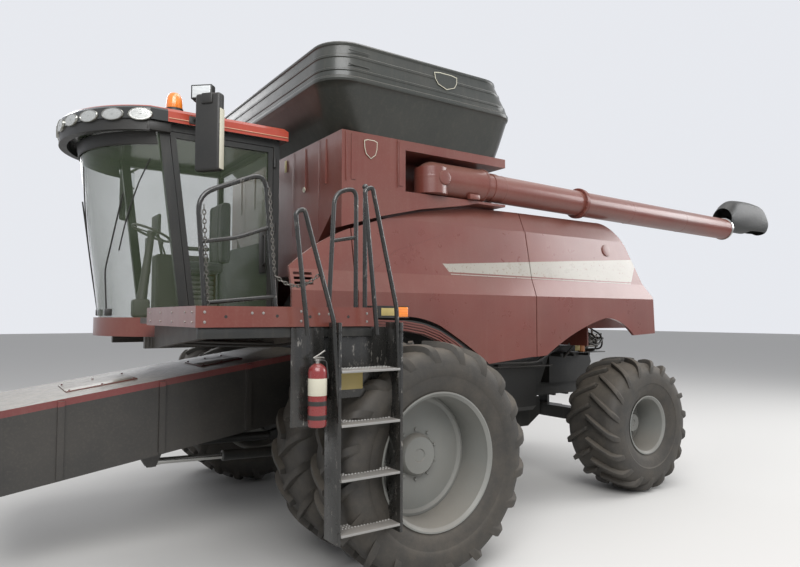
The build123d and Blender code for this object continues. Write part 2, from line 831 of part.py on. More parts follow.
fixed_side = cut_panel([
    [(fixed_front, 2150), (fixed_front, top_front)],
    [(fixed_front, top_front), (600, panel_top - 540), (fixed_side_front, 2570)],
    [(fixed_side_front, 2570), (fixed_side_front, 2150)],
    [(fixed_side_front, 2150), (fixed_front, 2150)],
], fixed_front, fixed_side_front)
relief = crease_relief()
front_panel -= relief
rear_panel -= relief
save("left_front_panel", front_panel)
save("left_rear_panel", rear_panel)
save("right_front_panel", mirrored(front_panel))
save("right_rear_panel", mirrored(rear_panel))
for vent_z in (2422, 2465, 2508):
    fixed_side -= block((690, 870), (1400, 1800), (vent_z - vent_slot / 2, vent_z + vent_slot / 2))
save("front_side_panels", both(fixed_side + block(
    (tank_front + 4, tank_front + 34), (1000, 1500), (2200, 2860)
)))
fender_face = outline_face([
    [(-1330, 1600), (-1070, 1790), (-720, 1995)],
    [(-720, 1995), (-500, 2070), (-250, 2100)],
    [(-250, 2100), (560, 2100)],
    [(560, 2100), (560, 2070)],
    [(560, 2070), (-250, 2070)],
    [(-250, 2070), (-480, 2040), (-700, 1970)],
    [(-700, 1970), (-1040, 1770), (-1300, 1580)],
    [(-1300, 1580), (-1330, 1600)],
], fender_inner)
fender = Part() + Solid.extrude(fender_face, Vector(0, fender_outer - fender_inner, 0))
save("front_fenders", both(fender))

# Ribs follow each front wheel arch under the side panel's edge.
lips = Part()
for k in range(lip_ribs):
    drop = k * lip_pitch
    points = [(x + drop * lean_in, z - drop) for x, z, lean_in in lip_line]
    points += [(x, z - lip_rib) for x, z in reversed(points)]
    lips += side_prism(points, fender_outer, fender_outer + 24 + lip_step * k)
lips += side_prism(
    [(x + 10 * lean_in, z - 10) for x, z, lean_in in lip_line]
    + [(x + lip_depth * lean_in, z - lip_depth) for x, z, lean_in in reversed(lip_line)],
    fender_outer, fender_outer + 14,
)
save("fender_lips", both(lips))

# Cab: a bowed floor, a frame of posts and leaning pillars, glass, a door and a roof.
cab_low = cab_floor_top - cab_floor_depth
floor_shoulder = pillar_foot + 70
cab_floor = Part() + Solid.extrude(
    bowed_plan(cab_rear, cab_half_width, floor_shoulder, glass_nose + 40, cab_low),
    Vector(0, 0, cab_floor_depth),
)
save("cab_floor", cab_floor)

post_inner = cab_half_width - cab_post
pillar_outline = [
    (pillar_foot, cab_floor_top), (pillar_foot + pillar_width, cab_floor_top),
    (pillar_head + pillar_width, cab_top), (pillar_head, cab_top),
]
cab_frame = both(side_prism(pillar_outline, post_inner, cab_half_width))
cab_frame += both(block(
    (cab_rear, cab_rear + cab_post), (post_inner, cab_half_width), (cab_floor_top, cab_top)
))
header_low = cab_top - 60
lean = (pillar_head - pillar_foot) / (cab_top - cab_floor_top)
header_outline = [
    (cab_rear, header_low), (pillar_head - lean * 60, header_low), (pillar_head, cab_top), (cab_rear, cab_top)
]
cab_frame += both(side_prism(header_outline, post_inner, cab_half_width))
cab_frame += block((cab_rear, cab_rear + 40), (-post_inner, post_inner), (header_low, cab_top))
rear_sill = 2880
cab_frame += block((cab_rear, cab_rear + 40), (-post_inner, post_inner), (cab_floor_top, rear_sill))
cab_frame += block(
    (cab_rear + cab_post, pillar_foot + 5), (-cab_half_width, -post_inner), (cab_floor_top, cab_floor_top + 60)
)
save("cab_frame", cab_frame)


def windshield_face(shoulder, nose, side, z):
    """A crescent in plan between two arcs, as thick as the glass."""
    inner_side = side - glass_thickness * 0.4
    return Face(Wire([
        Edge.make_three_point_arc((shoulder, -side, z), (nose, 0, z), (shoulder, side, z)),
        Edge.make_line((shoulder, side, z), (shoulder, inner_side, z)),
        Edge.make_three_point_arc(
            (shoulder, inner_side, z), (nose - glass_thickness, 0, z), (shoulder, -inner_side, z)
        ),
        Edge.make_line((shoulder, -inner_side, z), (shoulder, -side, z)),
    ]))


windshield = Part() + Solid.extrude(
    windshield_face(pillar_foot + pillar_width, glass_nose, cab_half_width - 6, cab_floor_top),
    Vector(pillar_head - pillar_foot, 0, cab_top - cab_floor_top),
)
side_pane = [
    (cab_rear + cab_post, cab_floor_top + 60), (pillar_foot + lean * 60, cab_floor_top + 60),
    (pillar_head - lean * 60, header_low), (cab_rear + cab_post, header_low),
]
windows = windshield + side_prism(side_pane, -cab_half_width + 20, -cab_half_width + 28)
windows += block((cab_rear + 16, cab_rear + 24), (-post_inner, post_inner), (rear_sill, header_low))
save("cab_windows", windows)


def door_outline(inset):
    """The door's outline from the side, moved inwards."""
    low = cab_floor_top + door_gap + inset
    high = header_low - door_gap - inset
    rear = cab_rear + cab_post + door_gap + inset
    front = [pillar_foot + lean * (z - cab_floor_top) - door_gap - inset * 1.02 for z in (low, high)]
    return [(rear, low), (front[0], low), (front[1], high), (rear, high)]


door_outer = cab_half_width - 2
door_inner = door_outer - door_thickness
door = side_prism(door_outline(0), door_inner, door_outer)
door -= side_prism(door_outline(door_frame_width), door_inner - 1, door_outer + 1)
save("cab_door", door)
pane_middle = door_outer - 20
save("cab_door_glass", side_prism(door_outline(door_frame_width), pane_middle - 4, pane_middle + 4))

roof = Part() + Solid.extrude(
    bowed_plan(roof_rear, roof_half_width, roof_shoulder, roof_nose, cab_top), Vector(0, 0, roof_top - cab_top)
)
roof = chamfer(roof.edges().group_by(Axis.Z)[-1], roof_chamfer)
save("cab_roof", roof)

# Six round lamps sit in a visor band under the roof's nose.
visor_low = cab_top - visor_depth
visor_side = roof_half_width - 20
visor_nose = roof_nose - 10
visor_inner_nose = visor_nose - 70
visor = Face(Wire([
    Edge.make_three_point_arc(
        (roof_shoulder, -visor_side, visor_low), (visor_nose, 0, visor_low),
        (roof_shoulder, visor_side, visor_low),
    ),
    Edge.make_line(
        (roof_shoulder, visor_side, visor_low), (roof_shoulder - 20, visor_side - 20, visor_low)
    ),
    Edge.make_three_point_arc(
        (roof_shoulder - 20, visor_side - 20, visor_low), (visor_inner_nose, 0, visor_low),
        (roof_shoulder - 20, 20 - visor_side, visor_low),
    ),
    Edge.make_line(
        (roof_shoulder - 20, 20 - visor_side, visor_low), (roof_shoulder, -visor_side, visor_low)
    ),
]))
visor = Part() + Solid.extrude(visor, Vector(0, 0, visor_depth))
lamps = Part()
lamp_height = visor_low + visor_depth / 2
for lamp_y in lamp_places:
    lamp_x = bow_x(visor_side, roof_shoulder, visor_nose, lamp_y + lamp_radius) - 12
    lamps += both(bar((lamp_x, lamp_y, lamp_height), (lamp_x + 45, lamp_y, lamp_height), lamp_radius, 10))
save("roof_lamps", lamps - visor)
save("cab_visor", visor)
beacon_y = cab_half_width - 80
beacon_base_top = roof_top + 45
beacon_base = bar((beacon_x, beacon_y, roof_top), (beacon_x, beacon_y, beacon_base_top), beacon_radius + 10)
beacon_lens = bar(
    (beacon_x, beacon_y, beacon_base_top), (beacon_x, beacon_y, beacon_base_top + beacon_height), beacon_radius
)
beacon_lens = chamfer(beacon_lens.edges().group_by(Axis.Z)[-1], 26)
signal_low, signal_high = deck_top + 2, deck_top + 95
signal_y = (deck_outer - 60, deck_outer)
signal = block((signal_rear, signal_rear + 110), signal_y, (signal_low, signal_high))
save("amber_lenses", beacon_lens + signal)
signal_box = block((signal_rear + 110, deck_rear + 40), signal_y, (signal_low, signal_high))
rear_box = block((hood_tail - 45, hood_tail), (lamp_box_y, lamp_box_y + 260), (2080, 2200))
save("signal_boxes", signal_box + both(rear_box))

# Mirrors: a head hung on a long arm from the roof's edge. A work lamp stands on the arm.
arm_z = mirror_high - 20
arm_root = roof_half_width + 2
mirror = chamfer(block(
    (mirror_x - mirror_width / 2, mirror_x + mirror_width / 2), (mirror_y - 28, mirror_y + 28),
    (mirror_low, mirror_high),
).edges().filter_by(Axis.Z), 18)
mirror += bar((mirror_x - 60, arm_root, arm_z), (mirror_x - 10, mirror_y + 10, arm_z), 16, rail_sides)
stalk_x, stalk_y = mirror_x - 55, arm_root + 55
mirror += bar((stalk_x, stalk_y, arm_z), (stalk_x, stalk_y, roof_top + 62), 12, rail_sides)
mirror += block((stalk_x - 45, stalk_x + 45), (stalk_y - 70, stalk_y + 60), (roof_top + 60, roof_top + 165))
save("roof_fittings", both(mirror) + beacon_base)

# Inside the cab: a seat on a pedestal, a console with a screen, and the steering column.
seat = chamfer(block((1010, 1430), (-240, 240), (seat_low, seat_low + 130)).edges(), 35)
back = chamfer(block((940, 1060), (-240, 240), (seat_low + 100, seat_low + 770)).edges(), 35)
save("operator_seat", seat + back)
pedestal = block((1060, 1380), (-150, 150), (cab_floor_top, seat_low))
column_foot = Vector(1794, 0, cab_floor_top - 40)
wheel_centre = Vector(1690, 0, 2960)
column = bar(tuple(column_foot), tuple(wheel_centre), 38, rail_sides)
column -= block((1600, 2000), (-200, 200), (cab_floor_top - 100, cab_floor_top))
spokes = block((-12, 12), (-steering_wheel_radius + 10, steering_wheel_radius - 10), (-8, 8))
rim_outline = RegularPolygon(steering_wheel_radius + 13, 16) - RegularPolygon(steering_wheel_radius - 13, 16)
steering_wheel = spokes + extrude(Pos(0, 0, -12) * rim_outline, amount=24)
column += Pos(*wheel_centre) * Rot(0, -22, 0) * steering_wheel
console = block((1000, 1560), (-560, -330), (cab_floor_top, console_top))
console = chamfer(console.edges().group_by(Axis.Z)[-1], 25)
console += bar((1480, -440, console_top - 10), (1540, -440, console_top + 270), 14, rail_sides)
console += block((1530, 1560), (-590, -290), (console_top + 210, console_top + 420))
save("cab_controls", pedestal + column + console)

# Platform: a deck on outriggers, a raised fascia, a narrow deck on the right, and
# long bearers that carry the cab.
deck_low = deck_top - deck_thickness
bearer_inner = housing_half_width + 20
bearer = block((-300, 1900), (bearer_inner, bearer_inner + 60), (cab_low - 100, cab_low))
bearer += block((-300, housing_front), (housing_half_width, bearer_inner), (cab_low - 100, cab_low))


def outrigger(reach, x):
    """A tapered arm from the bearer out to the deck's edge."""
    deck_start = cab_half_width + 8
    return cross_prism([
        (bearer_inner + 55, cab_low - 100), (reach, deck_low - 70), (reach, deck_low), (deck_start, deck_low),
        (deck_start, cab_low), (bearer_inner + 55, cab_low),
    ], x, x + 60)


deck = block((deck_rear, deck_front), (cab_half_width + 8, deck_outer), (deck_low, deck_top))
platform = bearer + deck
right_side = bearer + block(
    (cab_rear, 1500), (cab_half_width + 8, right_deck_outer), (deck_low, deck_top)
)
for arm_x in (780, 1780):
    platform += outrigger(deck_outer - 60, arm_x)
for arm_x in (780, 1380):
    right_side += outrigger(right_deck_outer - 60, arm_x)
save("platform", platform + mirrored(right_side))
fascia_thickness = 18
fascia_low = deck_top + 80 - fascia_depth
fascia = block(
    (deck_rear, deck_front + fascia_thickness), (deck_outer, deck_outer + fascia_thickness),
    (fascia_low, fascia_low + fascia_depth),
)
fascia += block(
    (deck_front, deck_front + fascia_thickness), (cab_half_width + 330, deck_outer),
    (fascia_low, fascia_low + fascia_depth),
)
save("deck_fascia", fascia)

# Ladder outboard of the outer wheel, hung from the deck's edge.
stringer = 26
step_depth = 28
ladder = Part()
for x in (ladder_rear, ladder_front - stringer):
    ladder += block((x, x + stringer), (ladder_inner, ladder_outer), (ladder_low, deck_low + 20))
first_step = 1760
for k in range(4):
    step_z = first_step - k * step_pitch
    ladder += block(
        (ladder_rear, ladder_front), (ladder_inner, ladder_outer), (step_z - step_depth, step_z)
    )
hanger_top = fascia_low - 4
ladder += block((ladder_rear, 1310), (ladder_inner, ladder_inner + 10), (first_step - 230, hanger_top))
ladder += block((deck_rear + 60, 1250), (deck_outer - 40, ladder_inner + 5), (hanger_top - 60, hanger_top))

# Guard rails and ladder grips, each a list of (x, y, z) bends.
guard_y = deck_outer - 30
grip_y = ladder_outer - rail_radius - 8
guard_bend = 70
grip_bend = 24
rail_runs = [
    [(1900, guard_y, deck_top), (1965, guard_y, 2930), (1500, guard_y, 3130), (1410, guard_y, deck_top)],
    [(1935, guard_y, 2620), (1443, guard_y, 2760)],
    [(1907, guard_y, 2220), (1416, guard_y, 2270)],
    [(1000, guard_y, deck_top), (955, guard_y, 3050), (770, guard_y, 3110), (770, guard_y, deck_top)],
    [(974, guard_y, 2690), (770, guard_y, 2730)],
    [(690, guard_y, deck_top), (690, guard_y, 3150)],
]
grip_runs = [
    [(1250, grip_y, 2000), (1350, grip_y, 2845), (1285, grip_y, 2875), (1050, grip_y, 2100),
     (ladder_front - stringer / 2, grip_y, 1500)],
    [(690, grip_y, 2000), (800, grip_y, 3060), (735, grip_y, 3090), (520, grip_y, 2200),
     (ladder_rear + stringer / 2, grip_y, 1500)],
]
rails = Part()
for run in rail_runs:
    rails += bent_rail(run, rail_radius, guard_bend)
rails -= block((0, 2500), (guard_y - 100, guard_y + 100), (deck_low, deck_top))
save("guard_rails", rails)
for run in grip_runs:
    ladder += bent_rail(run, rail_radius, grip_bend)
save("ladder", ladder)
bottle_radius = 44
bottle_y = ladder_inner + 10 + bottle_radius
bottle = bar((1180, bottle_y, 1480), (1180, bottle_y, 1820), bottle_radius)
bottle = chamfer(bottle.edges().group_by(Axis.Z)[-1], 18)
bottle += block((1168, 1192), (bottle_y - 16, bottle_y + 16), (1815, 1870))
save("fire_extinguisher", bottle)

# Feeder house: an open tunnel between slanted plates, hinged on two pins, with a
# square frame on its face for the header.
rear_slope = (feeder_top_rear - feeder_top_face) / (feeder_face_x - 240)
low_slope = (feeder_low_rear - feeder_low_face) / (feeder_face_x - 330)
feeder_outline = [
    (240, feeder_top_rear), (feeder_face_x, feeder_top_face), (feeder_face_x, feeder_low_face),
    (330, feeder_low_rear), (260, 1400),
]
tunnel_outline = [
    (140, feeder_top_rear + 100 * rear_slope - feeder_wall),
    (feeder_face_x + 60, feeder_top_face - 60 * rear_slope - feeder_wall),
    (feeder_face_x + 60, feeder_low_face - 60 * low_slope + feeder_wall),
    (140, feeder_low_rear + 190 * low_slope + feeder_wall),
]
feeder = side_prism(feeder_outline, -feeder_half_width, feeder_half_width)
feeder -= side_prism(tunnel_outline, -feeder_half_width + feeder_wall, feeder_half_width - feeder_wall)
pin_line = [(feeder_pivot_x, y, feeder_pivot_z) for y in (-900, 900)]
feeder -= rod(*pin_line, feeder_pin_radius + pin_clearance)
for side in (-1, 1):
    for ear in (-1, 1):
        ear_y = side * lift_y + ear * (ear_gap / 2 + 10)
        feeder += side_prism(
            [(lift_eye_x - 120, 940), (lift_eye_x + 120, 895), (lift_eye_x + 40, lift_eye_z - 40),
             (lift_eye_x - 40, lift_eye_z - 40)], ear_y - 10, ear_y + 10,
        )
    feeder += rod(
        (lift_eye_x, side * lift_y - pin_reach, lift_eye_z),
        (lift_eye_x, side * lift_y + pin_reach, lift_eye_z), lift_pin_radius,
    )
for rib_x in (900, 1700, 2500):
    rib_low = feeder_low_rear - (rib_x - 330) * low_slope
    rib_high = feeder_top_rear - (rib_x - 240) * rear_slope
    feeder += both(block(
        (rib_x, rib_x + 50), (feeder_half_width - 5, feeder_half_width + 28), (rib_low + 12, rib_high - 20)
    ))
save("feeder_house", feeder)
face_margin = 45
face_frame = block(
    (feeder_face_x, front_reach), (-feeder_half_width - face_margin, feeder_half_width + face_margin),
    (feeder_low_face - face_margin, feeder_top_face + face_margin),
)
face_frame -= block(
    (feeder_face_x - 5, front_reach + 5), (-feeder_half_width + feeder_wall, feeder_half_width - feeder_wall),
    (feeder_low_face + feeder_wall + 15, feeder_top_face - feeder_wall - 15),
)
save("feeder_face", face_frame)

# Lift cylinders: bored barrels on the axle's foot pins, and rods on the feeder's pins.
foot = Vector(lift_foot_x, lift_y, lift_foot_z)
eye = Vector(lift_eye_x, lift_y, lift_eye_z)
way = (eye - foot).normalized()
reach = (eye - foot).length
eye_width = 24


def along(distance):
    """A point on the left cylinder's axis, from its foot pin."""
    return tuple(foot + way * distance)


foot_line = [(foot.X, y, foot.Z) for y in (lift_y - eye_width, lift_y + eye_width)]
neck = along(90)
barrel = bar(neck, along(lift_barrel_length), lift_barrel_radius)
barrel -= bar(neck, along(lift_barrel_length + 5), lift_rod_radius + pin_clearance)
barrel += bar(along(70), along(110), lift_barrel_radius)
barrel += side_prism(
    [(foot.X, foot.Z - 40), (neck[0], neck[2] - 40), (neck[0], neck[2] + 40), (foot.X, foot.Z + 40)],
    lift_y - eye_width, lift_y + eye_width,
)
barrel += bar(*foot_line, 42)
barrel -= rod(*foot_line, lift_pin_radius + pin_clearance)
save("lift_barrels", both(barrel))
eye_line = [(eye.X, y, eye.Z) for y in (lift_y - eye_width, lift_y + eye_width)]
shank = along(reach - 170)
lift_rod = bar(along(300), shank, lift_rod_radius)
lift_rod += side_prism(
    [(shank[0] - 20, shank[2] - 22), (eye.X, eye.Z - 30), (eye.X, eye.Z + 30), (shank[0] - 20, shank[2] + 22)],
    lift_y - eye_width, lift_y + eye_width,
)
lift_rod += bar(*eye_line, lift_eye_radius)
lift_rod -= rod(*eye_line, lift_pin_radius + lift_eye_slack)
save("lift_rods", both(lift_rod))
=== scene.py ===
# %% [markdown]
# # A combine harvester
#
# The machine's metal comes from the CAD frame and is loaded as it is. Everything here
# is looks: paint, rubber, glass, the small sheet-metal pieces, the lamps and the light.
# Every length is in metres, with X forward, Y to the driver's left and Z up. Places are
# counted from the middle of the front axle, which the frame gives.

# %% Load the machine
import json
import math
import bpy
import bmesh
from mathutils import Matrix, Vector


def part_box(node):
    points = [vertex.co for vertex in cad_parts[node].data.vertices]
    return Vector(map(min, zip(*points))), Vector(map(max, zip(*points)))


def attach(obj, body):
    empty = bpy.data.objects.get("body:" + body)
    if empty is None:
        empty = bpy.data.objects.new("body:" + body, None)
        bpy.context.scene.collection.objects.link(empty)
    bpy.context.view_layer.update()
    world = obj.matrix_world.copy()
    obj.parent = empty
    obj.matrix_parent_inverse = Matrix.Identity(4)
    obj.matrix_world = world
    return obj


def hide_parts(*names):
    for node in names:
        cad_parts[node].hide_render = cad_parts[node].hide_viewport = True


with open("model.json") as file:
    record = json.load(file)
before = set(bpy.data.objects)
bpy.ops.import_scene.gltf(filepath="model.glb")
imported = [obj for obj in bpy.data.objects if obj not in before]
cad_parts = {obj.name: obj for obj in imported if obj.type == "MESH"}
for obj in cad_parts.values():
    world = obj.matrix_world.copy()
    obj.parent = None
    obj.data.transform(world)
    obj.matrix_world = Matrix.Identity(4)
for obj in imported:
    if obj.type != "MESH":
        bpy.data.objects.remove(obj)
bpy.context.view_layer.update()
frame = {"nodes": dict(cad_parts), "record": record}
bpy.ops.object.select_all(action="DESELECT")
nodes = frame["nodes"]
low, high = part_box("front_left_tyres")
axle_x = (low[0] + high[0]) / 2


def at(x, y, z):
    """A place in metres ahead of the front axle, left of the middle and up."""
    return Vector((axle_x + x, y, z))


print("pieces in the machine:", len(nodes), "front axle at", round(axle_x, 3))

# %% [markdown]
# ## Arithmetic for materials
#
# A material's pattern is a sum of small steps, and each step is a node. Written one node
# at a time, even "a little more dust on top" takes many lines. This class lets a socket
# be added, multiplied and compared like a number, so that a pattern reads as a formula.

# %% Values that can be added
class Value:
    """A shader socket that takes part in sums like a plain number."""

    def __init__(self, finish, socket):
        self.finish, self.socket = finish, socket

    def step(self, kind, first, second):
        """One sum, difference, product or comparison."""
        return self.finish.node("Math", {"operation": kind}, {0: first, 1: second})

    def __add__(self, other):
        return self.step("ADD", self, other)

    def __sub__(self, other):
        return self.step("SUBTRACT", self, other)

    def __rsub__(self, other):
        return self.step("SUBTRACT", other, self)

    def __mul__(self, other):
        return self.step("MULTIPLY", self, other)

    def __gt__(self, other):
        return self.step("GREATER_THAN", self, other)

    def __lt__(self, other):
        return self.step("LESS_THAN", self, other)

    def limit(self, low, high):
        """0 at low, 1 at high, even between them and level beyond."""
        inputs = {"Value": self, "From Min": low, "From Max": high}
        return self.finish.node("MapRange", {"clamp": True}, inputs)


stands_for = {}


class Finish:
    """One material, with short ways to make the nodes that feed its shader.

    The slot is the finish in the record that it stands for. The first one made for a
    slot dresses the solids that name it.
    """

    def __init__(self, slot, name, **constants):
        self.slot = slot
        stands_for.setdefault(slot, self)
        self.material = bpy.data.materials.new(name)
        self.material.use_nodes = True
        self.tree = self.material.node_tree
        self.shader = self.tree.nodes["Principled BSDF"]
        for socket, number in constants.items():
            self.shader.inputs[socket.replace("_", " ")].default_value = number
        self.place = self.node("TexCoord", output="Object")

    def node(self, kind, settings=None, inputs=None, output=0):
        """A new node with its settings made first and its sockets set or fed."""
        node = self.tree.nodes.new("ShaderNode" + kind)
        for setting, choice in (settings or {}).items():
            setattr(node, setting, choice)
        for socket, value in (inputs or {}).items():
            self.feed(node.inputs[socket], value)
        return Value(self, node.outputs[output])

    def feed(self, socket, value):
        """Link a value to a socket, or write a plain number into it."""
        if isinstance(value, Value):
            self.tree.links.new(value.socket, socket)
        else:
            socket.default_value = value

    def set(self, socket, value):
        """Feed one of the shader's own sockets."""
        self.feed(self.shader.inputs[socket], value)

    def noise(self, size, detail, stretch=(1, 1, 1), rough=0.55):
        """Soft random patches about as big as size, longer where stretch is under 1."""
        place = self.node("Mapping", {"vector_type": "POINT"}, {"Vector": self.place, "Scale": stretch})
        inputs = {"Vector": place, "Scale": 1 / size, "Detail": detail, "Roughness": rough}
        return self.node("TexNoise", {}, inputs)

    def waves(self, letter, scale):
        """Even bands across X, Y or Z."""
        return self.node("TexWave", {"bands_direction": letter}, {"Vector": self.place, "Scale": scale})

    def axis(self, letter):
        """How far along X, Y or Z a point is."""
        return self.node("SeparateXYZ", {}, {"Vector": self.place}, letter)

    def facing_up(self):
        """1 where the surface looks straight up, 0 where it stands upright."""
        normal = self.node("NewGeometry", output="Normal")
        return self.node("SeparateXYZ", {}, {"Vector": normal}, "Z")

    def between(self, share, first, second):
        """A colour on the way from the first to the second."""
        first, second = [c if isinstance(c, Value) else (*c, 1) for c in (first, second)]
        return self.node("Mix", {"data_type": "RGBA"}, {0: share, 6: first, 7: second}, 2)

    def cover(self, share, colour):
        """Lay a colour over the one that the shader has already."""
        under = Value(self, self.shader.inputs["Base Color"].links[0].from_socket)
        self.set("Base Color", self.between(share, under, colour))

    def bump(self, height, depth, strength):
        """Raise the surface by depth metres where height is 1."""
        inputs = {"Height": height, "Distance": depth, "Strength": strength}
        self.set("Normal", self.node("Bump", {}, inputs))

    def dress(self, node):
        """Give this finish to one of the machine's own solids."""
        for slot in nodes[node].material_slots:
            slot.material = self.material


print("shader arithmetic ready")

# %% [markdown]
# ## Dust
#
# A harvester that has stood in a barn is dusty everywhere, most of all on what looks up.
# The dust is worked out once here as a share from 0 to 1, from the way the surface faces
# and two sizes of patch, and most finishes below mix it in with a strength of their own.

# %% Settle the dust
DUST = (0.3, 0.245, 0.19)
MAROON = (0.15, 0.026, 0.018)


def dust_share(finish, strength):
    """How much dust lies on each point, from the facing and from patches."""
    patches = finish.noise(0.55, 4).limit(0.25, 0.78)
    specks = finish.noise(0.018, 3).limit(0.5, 0.72)
    lying = finish.facing_up().limit(0.15, 0.95)
    return (patches * 0.42 + specks * 0.18 + lying * 0.75 + 0.1) * strength


def painted(slot, name, colour, dust, gloss, coat, chips=0.0):
    """Sprayed metal: slow changes of colour, rain streaks, dust and a faint orange peel."""
    finish = Finish(slot, name, Coat_Weight=coat, Coat_Roughness=0.16, IOR=1.45)
    darker = tuple(c * 0.78 for c in colour)
    dusty = tuple(0.5 * c + 0.5 * d for c, d in zip(colour, DUST))
    paint = finish.between(finish.noise(0.9, 3).limit(0.3, 0.7), darker, colour)
    streaks = finish.noise(0.05, 4, (1, 1, 0.06)).limit(0.52, 0.78) * 0.1
    paint = finish.between(streaks, paint, dusty)
    if chips:
        bare = finish.noise(0.013, 5, rough=0.75) > 1 - chips
        paint = finish.between(bare * 0.8, paint, (0.2, 0.19, 0.18))
    share = dust_share(finish, dust)
    finish.set("Base Color", finish.between(share, paint, DUST))
    finish.set("Roughness", share * 0.55 + finish.noise(0.12, 5) * 0.16 + (gloss - 0.08))
    finish.bump(finish.noise(0.004, 2) * 0.5 + finish.noise(0.25, 2), 0.0007, 0.5)
    return finish


# slot, name, colour, dust, gloss, coat and chips
red_paint = painted("red_paint", "dusty_maroon_paint", MAROON, 0.28, 0.3, 0.4)
black_paint = painted("black_paint", "satin_black_paint", (0.012, 0.014, 0.014), 0.1, 0.4, 0.1, 0.25)
collar_paint = painted("black_paint", "grey_green_collar_paint", (0.017, 0.023, 0.021), 0.16, 0.36, 0.25)
rim_paint = painted("rim_paint", "grey_rim_paint", (0.2, 0.21, 0.2), 0.34, 0.44, 0.08, 0.26)
bottle_paint = painted("bottle_paint", "extinguisher_red_paint", (0.2, 0.01, 0.013), 0.12, 0.25, 0.5)
roof_paint = painted("red_paint", "orange_red_gloss_paint", (0.4, 0.045, 0.02), 0.14, 0.2, 0.6)

# The roof is dark underneath, and so is the lamp band that closes its front.
BAND_START, BAND_TOP = 1.78, 3.955
in_band = (roof_paint.axis("X") - axle_x > BAND_START) * (roof_paint.axis("Z") < BAND_TOP)
beneath = (roof_paint.facing_up() < -0.5) + in_band
roof_paint.cover(beneath.limit(0, 1), (0.02, 0.021, 0.019))
print("paints mixed:", len(bpy.data.materials))

# %% [markdown]
# ## The side panels' stripe
#
# The moulded side panels carry a long pale stripe with one thin line under it. It is
# thin film on the paint, so a separate strip of mesh would have to follow every bend of
# the skin. Drawing it inside the paint, from lines in side view, keeps it on the skin.

# %% Paint the side panels
STRIPE_START, STRIPE_END = -0.86, -3.93
STRIPE_FOOT, STRIPE_TOP, LINE_DROP, LINE_WIDTH = 2.588, 2.672, 0.026, 0.009
panel_paint = painted("red_paint", "striped_panel_paint", MAROON, 0.23, 0.26, 0.5)
ahead = panel_paint.axis("X") - axle_x
up = panel_paint.axis("Z")
along = ahead.limit(STRIPE_START, STRIPE_END)
foot = along * -0.012 + STRIPE_FOOT
top = along * 0.2 + STRIPE_TOP
begun = (ahead - (up - 2.6) * 0.9) < STRIPE_START
ended = (ahead + (up - 2.7) * 0.6) > STRIPE_END
stripe = (up > foot) * (up < top) * begun * ended
line_at = up - foot + LINE_DROP
line = (line_at > 0) * (line_at < LINE_WIDTH) * begun * ended
worn = panel_paint.noise(0.03, 5, rough=0.7).limit(0.3, 0.42)
film_colour = panel_paint.between(panel_paint.noise(0.5, 3), (0.28, 0.272, 0.235), (0.37, 0.36, 0.31))
panel_paint.cover((stripe + line) * worn * 0.86, film_colour)
print("stripe from", STRIPE_START, "to", STRIPE_END, "m ahead of the axle")

# %% [markdown]
# ## Rubber, plastic, glass and the rest
#
# Tyre rubber goes grey-brown where earth stays in it. Moulded plastic has a fine grain.
# Glass is only a weak tint seen straight on and a mirror at a slant, so its alpha follows
# the slant. Lenses and bright steel take their look mostly from what they reflect.

# %% Mix rubber, plastic and metal
def rubber(slot, name, colour, dust, roughness):
    """Dull rubber that keeps earth in its pores."""
    finish = Finish(slot, name, Coat_Weight=0.0, Coat_Roughness=0.2)
    earth = finish.noise(0.16, 7, rough=0.65).limit(0.4, 0.75)
    share = dust_share(finish, dust) + earth * dust * 0.5
    finish.set("Base Color", finish.between(share.limit(0, 1), colour, (0.17, 0.14, 0.105)))
    finish.set("Roughness", share * 0.2 + roughness)
    finish.bump(finish.noise(0.006, 5) + finish.noise(0.05, 3) * 2, 0.0012, 0.7)
    return finish


def plastic(name, colour, dust=0.09, roughness=0.44):
    """Moulded plastic with a fine grain."""
    grain = 0.0016
    finish = Finish("black_plastic", name, IOR=1.46)
    share = dust_share(finish, dust)
    finish.set("Base Color", finish.between(share, colour, DUST))
    finish.set("Roughness", share * 0.35 + finish.noise(0.08, 4) * 0.12 + (roughness - 0.06))
    cells = finish.node("TexVoronoi", {}, {"Vector": finish.place, "Scale": 1 / grain})
    finish.bump(cells, 0.0002, 0.5)
    return finish


def metal(slot, name, colour, roughness, dust=0.12, brushed=(1, 1, 1)):
    """Bare metal with fine scratches, dulled by dust."""
    finish = Finish(slot, name, Metallic=1.0)
    scratch = finish.noise(0.004, 4, brushed)
    share = dust_share(finish, dust)
    bare = finish.between(scratch, tuple(0.8 * c for c in colour), colour)
    finish.set("Base Color", finish.between(share, bare, DUST))
    finish.set("Metallic", 1 - share)
    finish.set("Roughness", scratch * 0.14 + share * 0.5 + roughness)
    finish.bump(scratch, 0.0001, 0.5)
    return finish


tyre_rubber = rubber("tyre_rubber", "dusty_tyre_rubber", (0.019, 0.019, 0.018), 0.34, 0.62)
spout_rubber = rubber("spout_rubber", "matte_spout_rubber", (0.013, 0.016, 0.018), 0.14, 0.52)
hose_rubber = rubber("spout_rubber", "hose_rubber", (0.014, 0.014, 0.014), 0.22, 0.45)
black_plastic = plastic("grained_black_plastic", (0.012, 0.013, 0.013))
grey_plastic = plastic("grey_cab_plastic", (0.09, 0.088, 0.083), dust=0.15)
sign_plate = plastic("bare_pale_plate", (0.52, 0.5, 0.4), dust=0.3, roughness=0.4)
yellow_plate = plastic("bare_yellow_plate", (0.42, 0.33, 0.11), dust=0.35, roughness=0.4)
bright_steel = metal("bright_steel", "bright_rod_steel", (0.62, 0.62, 0.6), 0.1)
bare_steel = metal("bare_steel", "worn_bare_steel", (0.36, 0.35, 0.33), 0.3, 0.3)
